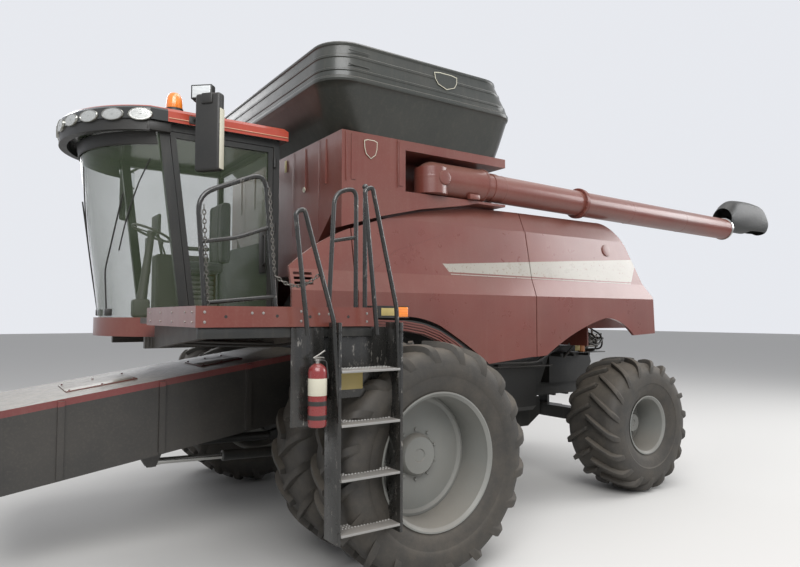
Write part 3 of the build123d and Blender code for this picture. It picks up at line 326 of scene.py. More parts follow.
step_alloy = metal("bare_steel", "pressed_step_alloy", (0.38, 0.38, 0.37), 0.36, 0.35, (1, 0.05, 1))
dark_chrome = metal("bright_steel", "dark_chrome", (0.34, 0.34, 0.31), 0.14, 0.1)
chain_steel = metal("bare_steel", "dull_chain_steel", (0.13, 0.125, 0.115), 0.34)

rail_paint = painted("black_paint", "rubbed_black_rail_paint", (0.01, 0.011, 0.011), 0.07, 0.26, 0.35)
rubbed = rail_paint.noise(0.035, 6, (1, 1, 0.35), rough=0.7).limit(0.6, 0.7)
rail_paint.cover(rubbed * 0.85, (0.33, 0.31, 0.28))
rail_paint.set("Metallic", rubbed * 0.7)
print("rubber, plastic and metal mixed:", len(bpy.data.materials))

# %% Mix glass, lenses and cloth
glass = Finish("glass", "tinted_cab_glass", IOR=1.5, Roughness=0.03, Coat_Weight=0.6, Coat_Roughness=0.02)
slant = glass.node("LayerWeight", {}, {"Blend": 0.35}, "Facing")
film = glass.noise(0.35, 6).limit(0.35, 0.75) * 0.05
glass.set("Base Color", glass.between(film * 2, (0.075, 0.11, 0.05), (0.3, 0.3, 0.24)))
glass.set("Alpha", slant * slant * 0.5 + film * 0.6 + 0.15)
glass.set("Roughness", film * 1.5 + 0.02)


def lens(slot, name, colour, deep, emission=0.0):
    """Clear moulded plastic with flutes, coloured all through."""
    finish = Finish(slot, name, Coat_Weight=0.9, Coat_Roughness=0.04, Emission_Strength=emission)
    flutes = finish.waves("Z", 26.0)
    share = dust_share(finish, 0.1)
    body = finish.between(flutes * 0.5 + finish.noise(0.05, 3) * 0.4, deep, colour)
    finish.set("Base Color", finish.between(share, body, DUST))
    finish.set("Emission Color", body)
    finish.set("Roughness", share * 0.5 + 0.1)
    finish.bump(flutes, 0.0012, 0.6)
    return finish


amber_lens = lens("amber_plastic", "amber_lens", (0.95, 0.3, 0.02), (0.62, 0.13, 0.01), 0.12)
lamp_lens = lens("lamp_lens", "clear_lamp_lens", (0.82, 0.84, 0.84), (0.45, 0.47, 0.48))
red_lens = lens("lamp_lens", "red_lamp_lens", (0.62, 0.02, 0.015), (0.25, 0.01, 0.01))

seat_cloth = Finish("seat_cloth", "woven_seat_cloth", Sheen_Weight=0.4)
warp, weft = seat_cloth.waves("Y", 130.0), seat_cloth.waves("Z", 130.0)
seat_cloth.set("Base Color", seat_cloth.between(warp * weft, (0.035, 0.036, 0.04), (0.1, 0.1, 0.11)))
seat_cloth.set("Roughness", warp * 0.1 + 0.8)
seat_cloth.bump(warp * weft, 0.0008, 0.6)

mirror_glass = Finish("bright_steel", "mirror_glass", Metallic=1.0)
film = mirror_glass.noise(0.06, 5).limit(0.45, 0.8)
mirror_glass.set("Base Color", mirror_glass.between(film * 0.3, (0.8, 0.82, 0.82), DUST))
mirror_glass.set("Roughness", film * 0.2 + 0.02)
print("finishes in all:", len(bpy.data.materials))

# %% [markdown]
# ## Dressing the machine
#
# Every solid names the finish that it is made with. Here each name is matched with the
# material mixed for it, and a few solids get one of their own, such as the side panels.

# %% Give each solid its finish
special = {
    "tank_extension": collar_paint, "cab_roof": roof_paint, "guard_rails": rail_paint,
    "ladder": rail_paint, "left_front_panel": panel_paint, "left_rear_panel": panel_paint,
    "right_front_panel": panel_paint, "right_rear_panel": panel_paint,
}
for part in frame["record"]["subparts"]:
    finish = special.get(part["node"], stands_for[part["material_slot"]])
    finish.dress(part["node"])

# %% [markdown]
# ## The camera
#
# The photograph was taken by a person standing ahead of the machine, on its left side,
# looking back along the body. A camera's place and direction could be guessed by eye.
# Here they were worked out from wheels and posts whose places are known, and are written
# as numbers: where it stands, how far it turns and tilts, and how long its lens is.

# %% Place the camera
PHOTO_WIDTH, LENS_IN_PIXELS, FILM_WIDTH = 800, 633.8, 36.0
camera_place = Vector((5.376, 6.603, 2.135))
turn, tilt, roll = (math.radians(a) for a in (55.8, 2.96, 0.1))
ahead = Vector((-math.cos(turn) * math.cos(tilt), -math.sin(turn) * math.cos(tilt), math.sin(tilt)))
level_right = ahead.cross(Vector((0, 0, 1))).normalized()
level_up = level_right.cross(ahead)
right = level_right * math.cos(roll) + level_up * math.sin(roll)
up = right.cross(ahead)
camera_data = bpy.data.cameras.new("camera")
camera_data.sensor_width = FILM_WIDTH
camera_data.lens = LENS_IN_PIXELS * FILM_WIDTH / PHOTO_WIDTH
camera = bpy.data.objects.new("camera", camera_data)
bpy.context.scene.collection.objects.link(camera)
facing = Matrix((right, up, -ahead)).transposed().to_4x4()
camera.matrix_world = Matrix.Translation(camera_place) @ facing
bpy.context.scene.camera = camera
print("lens", round(camera_data.lens, 2), "mm, looking along", [round(v, 3) for v in ahead])

# %% [markdown]
# ## Floor and light
#
# Shiny paint shows what stands around it, so a bare room makes it dull and a bright lamp
# makes hard spots. A pale floor, an even sky and a few wide area lamps give it long soft
# highlights. The sky is brighter to the camera and in reflections than it is as light,
# which keeps the colours about as they are written.

# %% Lay the floor
bpy.context.scene.view_settings.view_transform = "Standard"
bpy.ops.mesh.primitive_plane_add(size=160, location=(0, 0, 0))
floor = bpy.context.object
floor.name = "studio_floor"
floor_material = bpy.data.materials.new("studio_floor")
floor_material.use_nodes = True
floor_shader = floor_material.node_tree.nodes["Principled BSDF"]
floor_shader.inputs["Base Color"].default_value = (0.62, 0.61, 0.59, 1)
floor_shader.inputs["Roughness"].default_value = 0.85
floor.data.materials.append(floor_material)
print("floor laid at height", floor.location.z)

# %% Hang the lamps
world = bpy.data.worlds.new("studio_sky")
world.use_nodes = True
bpy.context.scene.world = world
sky_nodes, sky_links = world.node_tree.nodes, world.node_tree.links
sky = sky_nodes["Background"]
sky.inputs["Color"].default_value = (0.93, 0.95, 1.0, 1)
rays = sky_nodes.new("ShaderNodeLightPath")
shown = rays.outputs["Is Camera Ray"]
for kind in ("Is Transmission Ray", "Is Glossy Ray"):
    either = sky_nodes.new("ShaderNodeMath")
    either.operation = "MAXIMUM"
    sky_links.new(shown, either.inputs[0])
    sky_links.new(rays.outputs[kind], either.inputs[1])
    shown = either.outputs[0]
strength = sky_nodes.new("ShaderNodeMapRange")
sky_links.new(shown, strength.inputs["Value"])
strength.inputs["To Min"].default_value = 0.48
strength.inputs["To Max"].default_value = 0.86
sky_links.new(strength.outputs["Result"], sky.inputs["Strength"])


def hang_lamp(name, place, target, width, height, watts):
    """A wide area lamp that looks at a point."""
    data = bpy.data.lights.new(name, "AREA")
    data.shape = "RECTANGLE"
    data.size, data.size_y, data.energy = width, height, watts
    lamp = bpy.data.objects.new(name, data)
    bpy.context.scene.collection.objects.link(lamp)
    lamp.location = place
    lamp.rotation_euler = (Vector(target) - Vector(place)).to_track_quat("-Z", "Y").to_euler()


hang_lamp("key_lamp", (7, 10, 10), (0.5, 0, 2), 9, 7, 1500)
hang_lamp("top_lamp", (-1, 2, 13), (0, 0, 2), 12, 6, 800)
hang_lamp("rim_lamp", (-12, 6, 7), (-1, 0, 2.5), 8, 5, 700)
hang_lamp("far_lamp", (2, -12, 8), (0, 0, 2), 9, 5, 500)

# %% [markdown]
# ## Modelling by hand, in code
#
# The pieces below are made with the same tools as in the window: add a primitive, go
# into edit mode, extrude, scale and bevel, and come back. A few moves repeat, so they
# get a name here. Each finished piece keeps its place in its mesh, rides on the body that
# carries it and names the finish it is made with.

# %% Pick, settle and copy
TURN_TO = {"X": (0, math.pi / 2, 0), "Y": (-math.pi / 2, 0, 0), "Z": (0, 0, 0)}


def choose(*pieces):
    """Select these pieces and nothing else."""
    bpy.ops.object.select_all(action="DESELECT")
    for piece in pieces:
        piece.select_set(True)
    bpy.context.view_layer.objects.active = pieces[0]


def settle(piece, turn=(0, 0, 0)):
    """Bake a piece's place, turn and size into its mesh."""
    piece.rotation_euler = turn
    choose(piece)
    bpy.ops.object.transform_apply(location=True, rotation=True, scale=True)
    return piece


def put(piece, place, angle, axis="Y"):
    """Turn a piece about an axis through the origin and move it to a place."""
    piece.data.transform(Matrix.Translation(place) @ Matrix.Rotation(angle, 4, axis))
    return piece


def edit(action="SELECT"):
    """Go into edit mode with everything selected, or nothing."""
    bpy.ops.object.mode_set(mode="EDIT")
    bpy.ops.mesh.select_all(action=action)


def leave():
    """Go back to object mode."""
    bpy.ops.object.mode_set(mode="OBJECT")


def tidy(piece, angle=35):
    """Weld double points, face outwards and shade smooth between sharp edges."""
    choose(piece)
    edit()
    bpy.ops.mesh.remove_doubles(threshold=0.00005)
    bpy.ops.mesh.normals_make_consistent(inside=False)
    leave()
    bpy.ops.object.shade_smooth_by_angle(angle=math.radians(angle))
    return piece


def change(piece, kind, **settings):
    """Add a modifier with these settings and apply it."""
    modifier = piece.modifiers.new("change", kind)
    for setting, choice in settings.items():
        setattr(modifier, setting, choice)
    choose(piece)
    bpy.ops.object.modifier_apply(modifier="change")
    return piece


def copied(piece, matrix):
    """Another of the same piece somewhere else, with a mesh of its own."""
    twin = bpy.data.objects.new(piece.name, piece.data.copy())
    bpy.context.scene.collection.objects.link(twin)
    twin.data.transform(matrix)
    if matrix.determinant() < 0:
        twin.data.flip_normals()
    return twin


def spread(piece, places):
    """Copies of a piece at all the places, in its stead."""
    twins = [copied(piece, Matrix.Translation(place)) for place in places]
    bpy.data.objects.remove(piece)
    return twins


def ring_of(piece, count, centre, reach, axis="Y"):
    """Copies of a piece in a ring round an axis through centre, in its stead."""
    twins = []
    for k in range(count):
        turn = Matrix.Rotation(2 * math.pi * k / count, 4, axis)
        twins.append(copied(piece, Matrix.Translation(centre) @ turn @ Matrix.Translation((0, 0, reach))))
    bpy.data.objects.remove(piece)
    return twins


def mirrored(piece):
    """The same piece on the machine's other side."""
    return copied(piece, Matrix.Scale(-1, 4, (0, 1, 0)))


def both(pieces):
    """Pieces on the left and their twins on the right."""
    return list(pieces) + [mirrored(p) for p in pieces]


def joined(pieces):
    """All the pieces as one."""
    choose(*pieces)
    if len(pieces) > 1:
        bpy.ops.object.join()
    return bpy.context.view_layer.objects.active


print("moves ready")

# %% Lathe, block, tube and skin
def turned(rings, axis="Y", count=64, place=(0, 0, 0), caps=True):
    """A lathe: (distance along the axis, radius) rings, each extruded from the last."""
    (along, radius), *others = rings
    bpy.ops.mesh.primitive_circle_add(vertices=count, radius=radius, location=(0, 0, along))
    piece = settle(bpy.context.object)
    edit()
    for next_along, next_radius in others:
        move = {"value": (0, 0, next_along - along)}
        bpy.ops.mesh.extrude_edges_move(TRANSFORM_OT_translate=move)
        size = next_radius / radius
        bpy.ops.transform.resize(value=(size, size, 1), center_override=(0, 0, next_along))
        along, radius = next_along, next_radius
    if caps:
        bpy.ops.mesh.select_all(action="SELECT")
        bpy.ops.mesh.fill_holes(sides=0)
    leave()
    piece.location = place
    return tidy(settle(piece, TURN_TO[axis]))


def rod(start, end, radius, axis, count, place=(0, 0, 0)):
    """A plain rod; with six sides it is a bolt's head."""
    return turned([(start, radius), (end, radius)], axis, count, place)


def slab(low, high, bevel, segments=2):
    """A block between two corners with its edges rounded."""
    low, high = Vector(low), Vector(high)
    bpy.ops.mesh.primitive_cube_add(size=1, location=(low + high) / 2)
    bpy.context.object.scale = high - low
    piece = settle(bpy.context.object)
    edit()
    bpy.ops.mesh.bevel(offset=bevel, segments=segments, affect="EDGES")
    leave()
    return tidy(piece)


def block(low, high, *rounding):
    """A slab between two places counted from the front axle."""
    return slab(at(*low), at(*high), *rounding)


def bent_tube(points, radius, bend):
    """A round tube through the points, rounded at each corner in six steps."""
    path = [points[0]]
    for before, corner, after in zip(points, points[1:], points[2:]):
        back, on = before - corner, after - corner
        cut = min(bend, back.length * 0.45, on.length * 0.45)
        for k in range(7):
            share = k / 6
            path.append(corner + back.normalized() * cut * (1 - share) ** 2
                        + on.normalized() * cut * share ** 2)
    path.append(points[-1])
    curve = bpy.data.curves.new("tube", "CURVE")
    curve.dimensions, curve.bevel_depth, curve.bevel_resolution = "3D", radius, 4
    curve.use_fill_caps = True
    spline = curve.splines.new("POLY")
    spline.points.add(len(path) - 1)
    for point, place in zip(spline.points, path):
        point.co = (*place, 1)
    tube = bpy.data.objects.new("tube", curve)
    bpy.context.scene.collection.objects.link(tube)
    choose(tube)
    bpy.ops.object.convert(target="MESH")
    return tidy(bpy.context.object, 50)


def pipe(places, radius, bend=0.06):
    """A bent tube through places counted from the front axle."""
    return bent_tube([at(*place) for place in places], radius, bend)


def skin(rings):
    """An open skin through rings of points, each ring extruded from the last."""
    count = len(rings[0])
    bpy.ops.mesh.primitive_circle_add(vertices=count, radius=1)
    piece = bpy.context.object
    edit()
    for number, ring in enumerate(rings):
        if number:
            bpy.ops.mesh.extrude_edges_move(TRANSFORM_OT_translate={"value": (0, 0, 0.1)})
        mesh = bmesh.from_edit_mesh(piece.data)
        mesh.verts.ensure_lookup_table()
        for vertex, place in zip(mesh.verts[-count:], ring):
            vertex.co = place
        bmesh.update_edit_mesh(piece.data)
    leave()
    return piece


def fit(name, pieces, finish, body="machine", instead_of=None):
    """Join pieces into one, give it its finish and let it ride on a body."""
    piece = joined(pieces)
    piece.name = piece.data.name = name
    piece.data.materials.clear()
    piece.data.materials.append(finish.material)
    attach(piece, body)
    if instead_of:
        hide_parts(instead_of)
    return piece


print("shapes ready")

# %% [markdown]
# ## Tyres
#
# A field tyre has two rows of tall lugs that lean from the middle to the shoulders and
# run down onto the side walls. The carcass is a lathe shape. One lug starts as a cube cut
# along its length, and each of its points is then laid on the tyre: how far along the lug
# gives the place across the tread, and the lug's lean gives the turn round the axle. The
# other lugs are turned copies, half a pitch apart on the two sides.

# %% Shape a tyre
CARCASS = [
    # across the tyre in half widths, up the side wall in shares
    (0.0, 0.885), (0.6, 0.875), (0.8, 0.835), (0.92, 0.76), (0.985, 0.64), (1.0, 0.5),
    (0.985, 0.38), (0.965, 0.365), (0.955, 0.345), (0.93, 0.23), (0.86, 0.12),
    (0.82, 0.085), (0.8, 0.04), (0.8, 0.0),
]
LUG_CREST = [(-0.03, 0.999), (0.25, 1.0), (0.5, 0.992), (0.72, 0.968), (0.9, 0.925), (0.988, 0.8),
             (0.995, 0.62)]
LUG_FOOT = [(-0.03, 0.86), (0.25, 0.86), (0.5, 0.85), (0.7, 0.82), (0.84, 0.76), (0.93, 0.66), (0.95, 0.56)]


def shared(table, share):
    """The value at a share of the way through a table of even steps."""
    place = share * (len(table) - 1)
    first = min(int(place), len(table) - 2)
    rest = place - first
    return tuple(a + (b - a) * rest for a, b in zip(table[first], table[first + 1]))


def long_block(cuts):
    """A unit cube cut along X."""
    bpy.ops.mesh.primitive_cube_add(size=1)
    piece = bpy.context.object
    edit("DESELECT")
    leave()
    for edge in piece.data.edges:
        start, end = [piece.data.vertices[v].co.x for v in edge.vertices]
        edge.select = start != end
    bpy.ops.object.mode_set(mode="EDIT")
    bpy.ops.mesh.select_mode(type="EDGE")
    bpy.ops.mesh.subdivide(number_cuts=cuts)
    leave()
    return piece


def tyre(radius, width, rim, lugs, lug_run, direction):
    """A tyre round the Y axis through the origin."""
    half, wall = width / 2, radius - rim
    right = [(across * half, rim + up * wall) for across, up in CARCASS]
    rings = [(-across, reach) for across, reach in reversed(right)] + right[1:]
    rings += [(half * 0.72, rim - 0.004), (-half * 0.72, rim - 0.004), rings[0]]
    body = turned(rings, count=96, caps=False)
    lug = long_block(9)
    for vertex in lug.data.vertices:
        share, outside = vertex.co.x + 0.5, vertex.co.z > 0
        across, up = shared(LUG_CREST if outside else LUG_FOOT, share)
        lean = lug_run * (1.25 * share - 0.3 * share ** 2)
        thick = (0.04 + 0.034 * share) * (1.0 if outside else 1.5)
        angle = direction * (lean + vertex.co.y * thick) / radius
        reach = rim + up * wall
        vertex.co = (reach * math.sin(angle), across * half, -reach * math.cos(angle))
    tidy(change(lug, "BEVEL", width=0.007, segments=2, limit_method="ANGLE"), 40)
    pitch = 2 * math.pi / lugs
    copies = []
    for k in range(lugs):
        copies.append(copied(lug, Matrix.Rotation(k * pitch, 4, "Y")))
        far_side = Matrix.Rotation((k + 0.5) * pitch, 4, "Y") @ Matrix.Scale(-1, 4, (0, 1, 0))
        copies.append(copied(lug, far_side))
    bpy.data.objects.remove(lug)
    return joined([body] + copies)


print("a lug has", len(LUG_CREST), "stations")

# %% Fit the tyres
FRONT = dict(radius=0.965, width=0.52, rim=0.535)
REAR = dict(radius=0.81, width=0.72, rim=0.33)
FRONT_TRACKS, REAR_TRACK, WHEELBASE = (1.525, 2.295), 1.525, 3.75
front_tyre = tyre(**FRONT, lugs=20, lug_run=0.26, direction=1)
rear_tyre = tyre(**REAR, lugs=18, lug_run=0.3, direction=-1)
for side, sign in (("left", 1), ("right", -1)):
    turn = Matrix.Scale(sign, 4, (0, 1, 0))
    pair = [copied(front_tyre, turn @ Matrix.Translation(at(0, y, FRONT["radius"]))) for y in FRONT_TRACKS]
    back = copied(rear_tyre, turn @ Matrix.Translation(at(-WHEELBASE, REAR_TRACK, REAR["radius"])))
    fit(f"front_{side}_lugged_tyres", pair, tyre_rubber, f"front_{side}_wheels", f"front_{side}_tyres")
    fit(f"rear_{side}_lugged_tyre", [back], tyre_rubber, f"rear_{side}_wheel", f"rear_{side}_tyre")
bpy.data.objects.remove(front_tyre)
bpy.data.objects.remove(rear_tyre)

# %% [markdown]
# ## Rims
#
# Each rim is a rolled barrel with a rounded lip on both edges and a pressed disc welded
# inside it. The disc is bolted to the hub by a ring of nuts. Barrel with lips, and disc
# with hub, are one lathe shape each; the nuts are one six-sided head, copied round the
# hub.

# %% Shape the rims
HUB_DROP = 0.02


def nut(radius, height):
    """A bolt head on its washer, looking along Y."""
    return turned([
        (0, radius * 1.35), (height * 0.25, radius * 1.35), (height * 0.26, radius),
        (height * 0.9, radius), (height, radius * 0.82),
    ], count=6)


def rim(width, rim_radius, disc, hub_radius, centre, hub_length):
    """A rim whose disc lies at a distance outwards from its middle."""
    half = width * 0.4
    lip, hub_end = half + 0.014, disc + hub_length
    outer = [(lip, 0.024), (lip - 0.004, 0.026), (half + 0.004, 0.02), (half, 0.002),
             (half - 0.05, -0.004), (0.06, -0.022)]
    inner = [(lip, 0.012), (half - 0.008, -0.012), (half - 0.06, -0.018), (0.07, -0.036)]
    section = [(-along, off) for along, off in outer] + outer[::-1]
    section += inner + [(-along, off) for along, off in inner[::-1]] + [(-lip, 0.024)]
    rings = [(along, rim_radius + off) for along, off in section]
    barrel = turned(rings, count=80, place=centre, caps=False)
    dish = turned([
        (disc - 0.012, rim_radius - 0.03), (disc + 0.004, rim_radius - 0.028),
        (disc + 0.006, rim_radius - 0.05), (disc - 0.03, rim_radius * 0.8),
        (disc - 0.045, rim_radius * 0.62), (disc - 0.045, rim_radius * 0.52),
        (disc - HUB_DROP, hub_radius * 1.25), (disc - HUB_DROP, hub_radius * 0.95),
        (hub_end - HUB_DROP, hub_radius * 0.9), (hub_end, hub_radius * 0.8),
        (hub_end, hub_radius * 0.3), (hub_end - 0.01, hub_radius * 0.26),
    ], count=80, place=centre)
    on_hub = centre + Vector((0, disc - HUB_DROP, 0))
    return [barrel, dish] + ring_of(nut(0.015, 0.024), 10, on_hub, hub_radius * 1.1)


print("hub nuts sit", HUB_DROP, "m behind the disc's edge")

# %% Fit the rims
front_axle, rear_axle = at(0, 0, FRONT["radius"]), at(-WHEELBASE, 0, REAR["radius"])
front = []
for track, disc in zip(FRONT_TRACKS, (0.05, -0.12)):
    front += rim(FRONT["width"], FRONT["rim"], disc, 0.19, at(0, track, FRONT["radius"]), 0.055)
front.append(turned([(1.6, 0.235), (1.61, 0.24), (2.13, 0.24), (2.14, 0.235)], count=48, place=front_axle))
front.append(turned([(1.38, 0.165), (1.55, 0.165), (1.58, 0.2)], count=48, place=front_axle))
back = rim(REAR["width"], REAR["rim"], -0.05, 0.13, at(-WHEELBASE, REAR_TRACK, REAR["radius"]), 0.142)
back.append(turned([(1.375, 0.118), (1.55, 0.12), (1.56, 0.1)], count=40, place=rear_axle))
left = joined(front), joined(back)
right = mirrored(left[0]), mirrored(left[1])
for side, (front, back) in (("left", left), ("right", right)):
    fit(f"front_{side}_dished_rims", [front], rim_paint, f"front_{side}_wheels", f"front_{side}_rims")
    fit(f"rear_{side}_dished_rim", [back], rim_paint, f"rear_{side}_wheel", f"rear_{side}_rim")
print("rims fitted, each with ten nuts")

# %% [markdown]
# ## The grain tank's collar
#
# Above the red tank stands a dark collar that flares outwards, with a band over it that
# leans back in. Seen from above it is a rectangle with large round corners. A ring of
# points is laid round that outline at the tank's rim, and is extruded upwards ring by
# ring: out along the flare, over a rolled rib, up the band and over the rolled top.
# Thickness is added at the end.

# %% Shape the collar
CORNER = 0.3
COLLAR_LEVELS = [
    # rear, front, side, height
    (-1.72, 0.35, 1.48, 3.88), (-1.708, 0.46, 1.578, 4.02), (-1.694, 0.59, 1.692, 4.205),
    (-1.69, 0.618, 1.716, 4.24), (-1.688, 0.636, 1.738, 4.252), (-1.688, 0.64, 1.744, 4.27),
    (-1.69, 0.636, 1.74, 4.29), (-1.69, 0.622, 1.724, 4.304), (-1.672, 0.62, 1.722, 4.345),
    (-1.66, 0.626, 1.728, 4.352), (-1.656, 0.626, 1.728, 4.368), (-1.656, 0.618, 1.718, 4.376),
    (-1.6, 0.612, 1.708, 4.47), (-1.592, 0.618, 1.714, 4.478), (-1.588, 0.618, 1.714, 4.496),
    (-1.584, 0.61, 1.704, 4.505), (-1.54, 0.598, 1.692, 4.59), (-1.536, 0.606, 1.698, 4.6),
    (-1.532, 0.608, 1.7, 4.614), (-1.536, 0.6, 1.694, 4.627), (-1.552, 0.58, 1.676, 4.627),
]


def collar_ring(rear, front, side, height):
    """The points of a rectangle with round corners, nine to a corner."""
    straight_x, straight_y = (front - rear) / 2 - CORNER, side - CORNER
    middle, ring = at((front + rear) / 2, 0, height), []
    for x_sign, y_sign, start in ((1, 1, 0), (-1, 1, 90), (-1, -1, 180), (1, -1, 270)):
        for k in range(9):
            angle = math.radians(start + 90 * k / 8)
            x = x_sign * straight_x + CORNER * math.cos(angle)
            y = y_sign * straight_y + CORNER * math.sin(angle)
            ring.append(middle + Vector((x, y, 0)))
    return ring


collar = tidy(skin([collar_ring(*level) for level in COLLAR_LEVELS]), 30)
collar = tidy(change(collar, "SOLIDIFY", thickness=0.012, offset=-1), 30)
grooves = [block((0.2, 1.716, z), (0.42, 1.722, z + 0.012), 0.003) for z in (4.4, 4.53)]
fit("flared_tank_collar", [collar] + both(grooves), collar_paint, "machine", "tank_extension")
print("collar rings:", len(COLLAR_LEVELS))

# %% [markdown]
# ## The unloading tube
#
# Grain leaves through a long tube that lies along the left side. It starts in a cast
# elbow, is bolted together at round flanges, and shows faint seams where its sheets meet.
# Tube, flanges and seams are lathe shapes along the tube's own line, which climbs a
# little to the back; bolts go round each flange.

# %% Shape the tube
TUBE_Y, TUBE_Z, TUBE_RISE, TUBE_RADIUS = 1.39, 3.56, 0.08, 0.155
TUBE_START, TUBE_END, ELBOW_X, ELBOW_RADIUS = -1.4, -6.38, -0.75, 0.175
climb = math.atan2(TUBE_RISE, TUBE_START - TUBE_END)
to_the_back = Matrix.Rotation(-climb, 4, "Y") @ Matrix.Rotation(math.pi, 4, "Z")
tube_line = Matrix.Translation(at(TUBE_START, TUBE_Y, TUBE_Z)) @ to_the_back


def on_tube(rings):
    """A lathe shape along the tube, measured from its first flange to the back."""
    piece = turned(rings, "X")
    piece.data.transform(tube_line)
    return piece


def band(start, end, radius, rise):
    """A raised band round the tube, with a slope on either side."""
    slope = 0.003
    top = radius + rise
    return on_tube([(start, radius), (start + slope, top), (end - slope, top), (end, radius)])


def flange(distance, radius=0.187, length=0.024):
    """Two bolted plates with a ring of bolts."""
    edge, groove, end = radius - 0.004, radius - 0.006, distance + length
    plates = on_tube([
        (distance, edge), (distance + 0.003, radius), (distance + length * 0.42, radius),
        (distance + length * 0.46, groove), (distance + length * 0.54, groove),
        (distance + length * 0.58, radius), (end, radius), (end + 0.002, edge),
    ])
    bolt = rod(-0.012, length + 0.012, 0.008, "X", 6)
    bolts = ring_of(bolt, 16, (distance, 0, 0), radius - 0.014, "X")
    for bolt in bolts:
        bolt.data.transform(tube_line)
    return [plates] + bolts


sunk, bore = TUBE_RADIUS - 0.002, TUBE_RADIUS - 0.012
tube_rings = [(-0.1, sunk)]
for seam in (0.3, 1.55, 2.57, 3.76):
    for off, radius in ((-0.006, sunk), (-0.004, TUBE_RADIUS), (0.004, TUBE_RADIUS), (0.006, sunk)):
        tube_rings.append((seam + off, radius))
tube_rings += [(4.955, sunk), (4.96, TUBE_RADIUS), (4.975, TUBE_RADIUS), (4.975, bore), (4.6, bore)]
elbow = at(ELBOW_X, TUBE_Y, TUBE_Z)
socket = ELBOW_RADIUS + 0.006
ARM = [(0.0, ELBOW_RADIUS), (0.6, ELBOW_RADIUS), (0.62, socket), (0.655, socket)]
SADDLE = [(0.1, 0.088), (0.176, 0.076), (0.183, 0.07), (0.186, 0.058), (0.1865, 0.02)]
tube = [
    on_tube(tube_rings),
    turned([(-0.175, 0.165), (-0.17, ELBOW_RADIUS), (0.1, ELBOW_RADIUS)], "Z", place=elbow),
    put(turned(ARM, "X"), elbow, math.pi, "Z"),
]
knee_radius = ELBOW_RADIUS + 0.001
bpy.ops.mesh.primitive_uv_sphere_add(segments=48, ring_count=24, radius=knee_radius, location=elbow)
tube += [
    tidy(settle(bpy.context.object)),
    turned(SADDLE, "Y", 40, elbow + Vector((-0.05, 0, -0.01))),
    block((-1.3, TUBE_Y + 0.09, TUBE_Z - 0.185), (-1.16, TUBE_Y + 0.15, TUBE_Z - 0.13), 0.01),
    band(0.13, 0.203, 0.1545, 0.0055),
]
tube += flange(0.0) + flange(1.6) + flange(1.635, 0.182, 0.02)
fit("unloading_auger_tube", tube, red_paint, "unloader", "unloading_tube")
print("tube climbs", round(math.degrees(climb), 2), "degrees")

# %% [markdown]
# ## The rubber spout
#
# A loose black rubber boot hangs over the tube's end and throws the grain down. It is
# wide, soft and a little folded, so it is a skin through rings that go from round to
# square and back, each with shallow folds, and it is smoothed at the end. Part of its
# underside is taken out for the mouth, as on the real one.

# %% Shape the spout
SPOUT_SECTIONS = [
    # distance ahead of the axle, lowest, highest, half width, how round
    (-6.33, 3.47, 3.8, 0.158, 1.0), (-6.4, 3.452, 3.85, 0.166, 0.9), (-6.5, 3.445, 3.945, 0.172, 0.75),
    (-6.72, 3.442, 3.958, 0.174, 0.7), (-6.96, 3.442, 3.956, 0.174, 0.65), (-7.17, 3.442, 3.95, 0.172, 0.65),
    (-7.33, 3.444, 3.915, 0.168, 0.7), (-7.43, 3.45, 3.84, 0.158, 0.8), (-7.49, 3.47, 3.7, 0.135, 1.0),
]
AROUND, FOLD_DEPTH = 36, 0.035
MOUTH_REAR, MOUTH_FRONT, MOUTH_TOP = -7.44, -6.98, 3.5
last = len(SPOUT_SECTIONS) - 1
rings = []
for section, (x, lowest, highest, half, roundness) in enumerate(SPOUT_SECTIONS):
    middle, tall = (lowest + highest) / 2, (highest - lowest) / 2
    ring = []
    for k in range(AROUND):
        angle = 2 * math.pi * k / AROUND
        across, rise = math.cos(angle), math.sin(angle)
        squared = 1 / max(abs(across), abs(rise)) ** (1 - roundness)
        folded = abs(math.sin(3.0 * angle + 2.2 * section)) if 0 < section < last else 0
        reach = squared * (1 - FOLD_DEPTH * folded)
        ring.append(at(x, TUBE_Y + half * across * reach, middle + tall * rise * reach))
    rings.append(ring)
spout = skin(rings)
choose(spout)
bpy.ops.object.mode_set(mode="EDIT")
shell = bmesh.from_edit_mesh(spout.data)
shell.verts.ensure_lookup_table()
shell.faces.new(shell.verts[-AROUND:])
mouth = []
for face in shell.faces:
    centre = face.calc_center_median()
    if MOUTH_REAR < centre.x - axle_x < MOUTH_FRONT and centre.z < MOUTH_TOP:
        mouth.append(face)
bmesh.ops.delete(shell, geom=mouth, context="FACES")
bmesh.update_edit_mesh(spout.data)
leave()
change(tidy(spout, 60), "SOLIDIFY", thickness=0.01, offset=-1)
change(spout, "SUBSURF", levels=2, render_levels=2)
fit("rubber_unloading_spout", [tidy(spout, 60)], spout_rubber, "unloader", "unloading_spout")
fit("spout_hose_clamp", [band(4.935, 4.965, 0.16, 0.006)], bright_steel, "unloader")
print("spout points:", len(spout.data.vertices))

# %% [markdown]
# ## Rails, ladder and chains
#
# The guard rails and the ladder's grips are bent from round tube, rubbed bright where
# hands go. A tube is a curve with a round bevel, turned into a mesh, so that each rail is
# no more than its list of corners. The ladder's treads are pressed plates with teeth, and
# the chains close the platform, hanging in the curve that any slack chain takes.

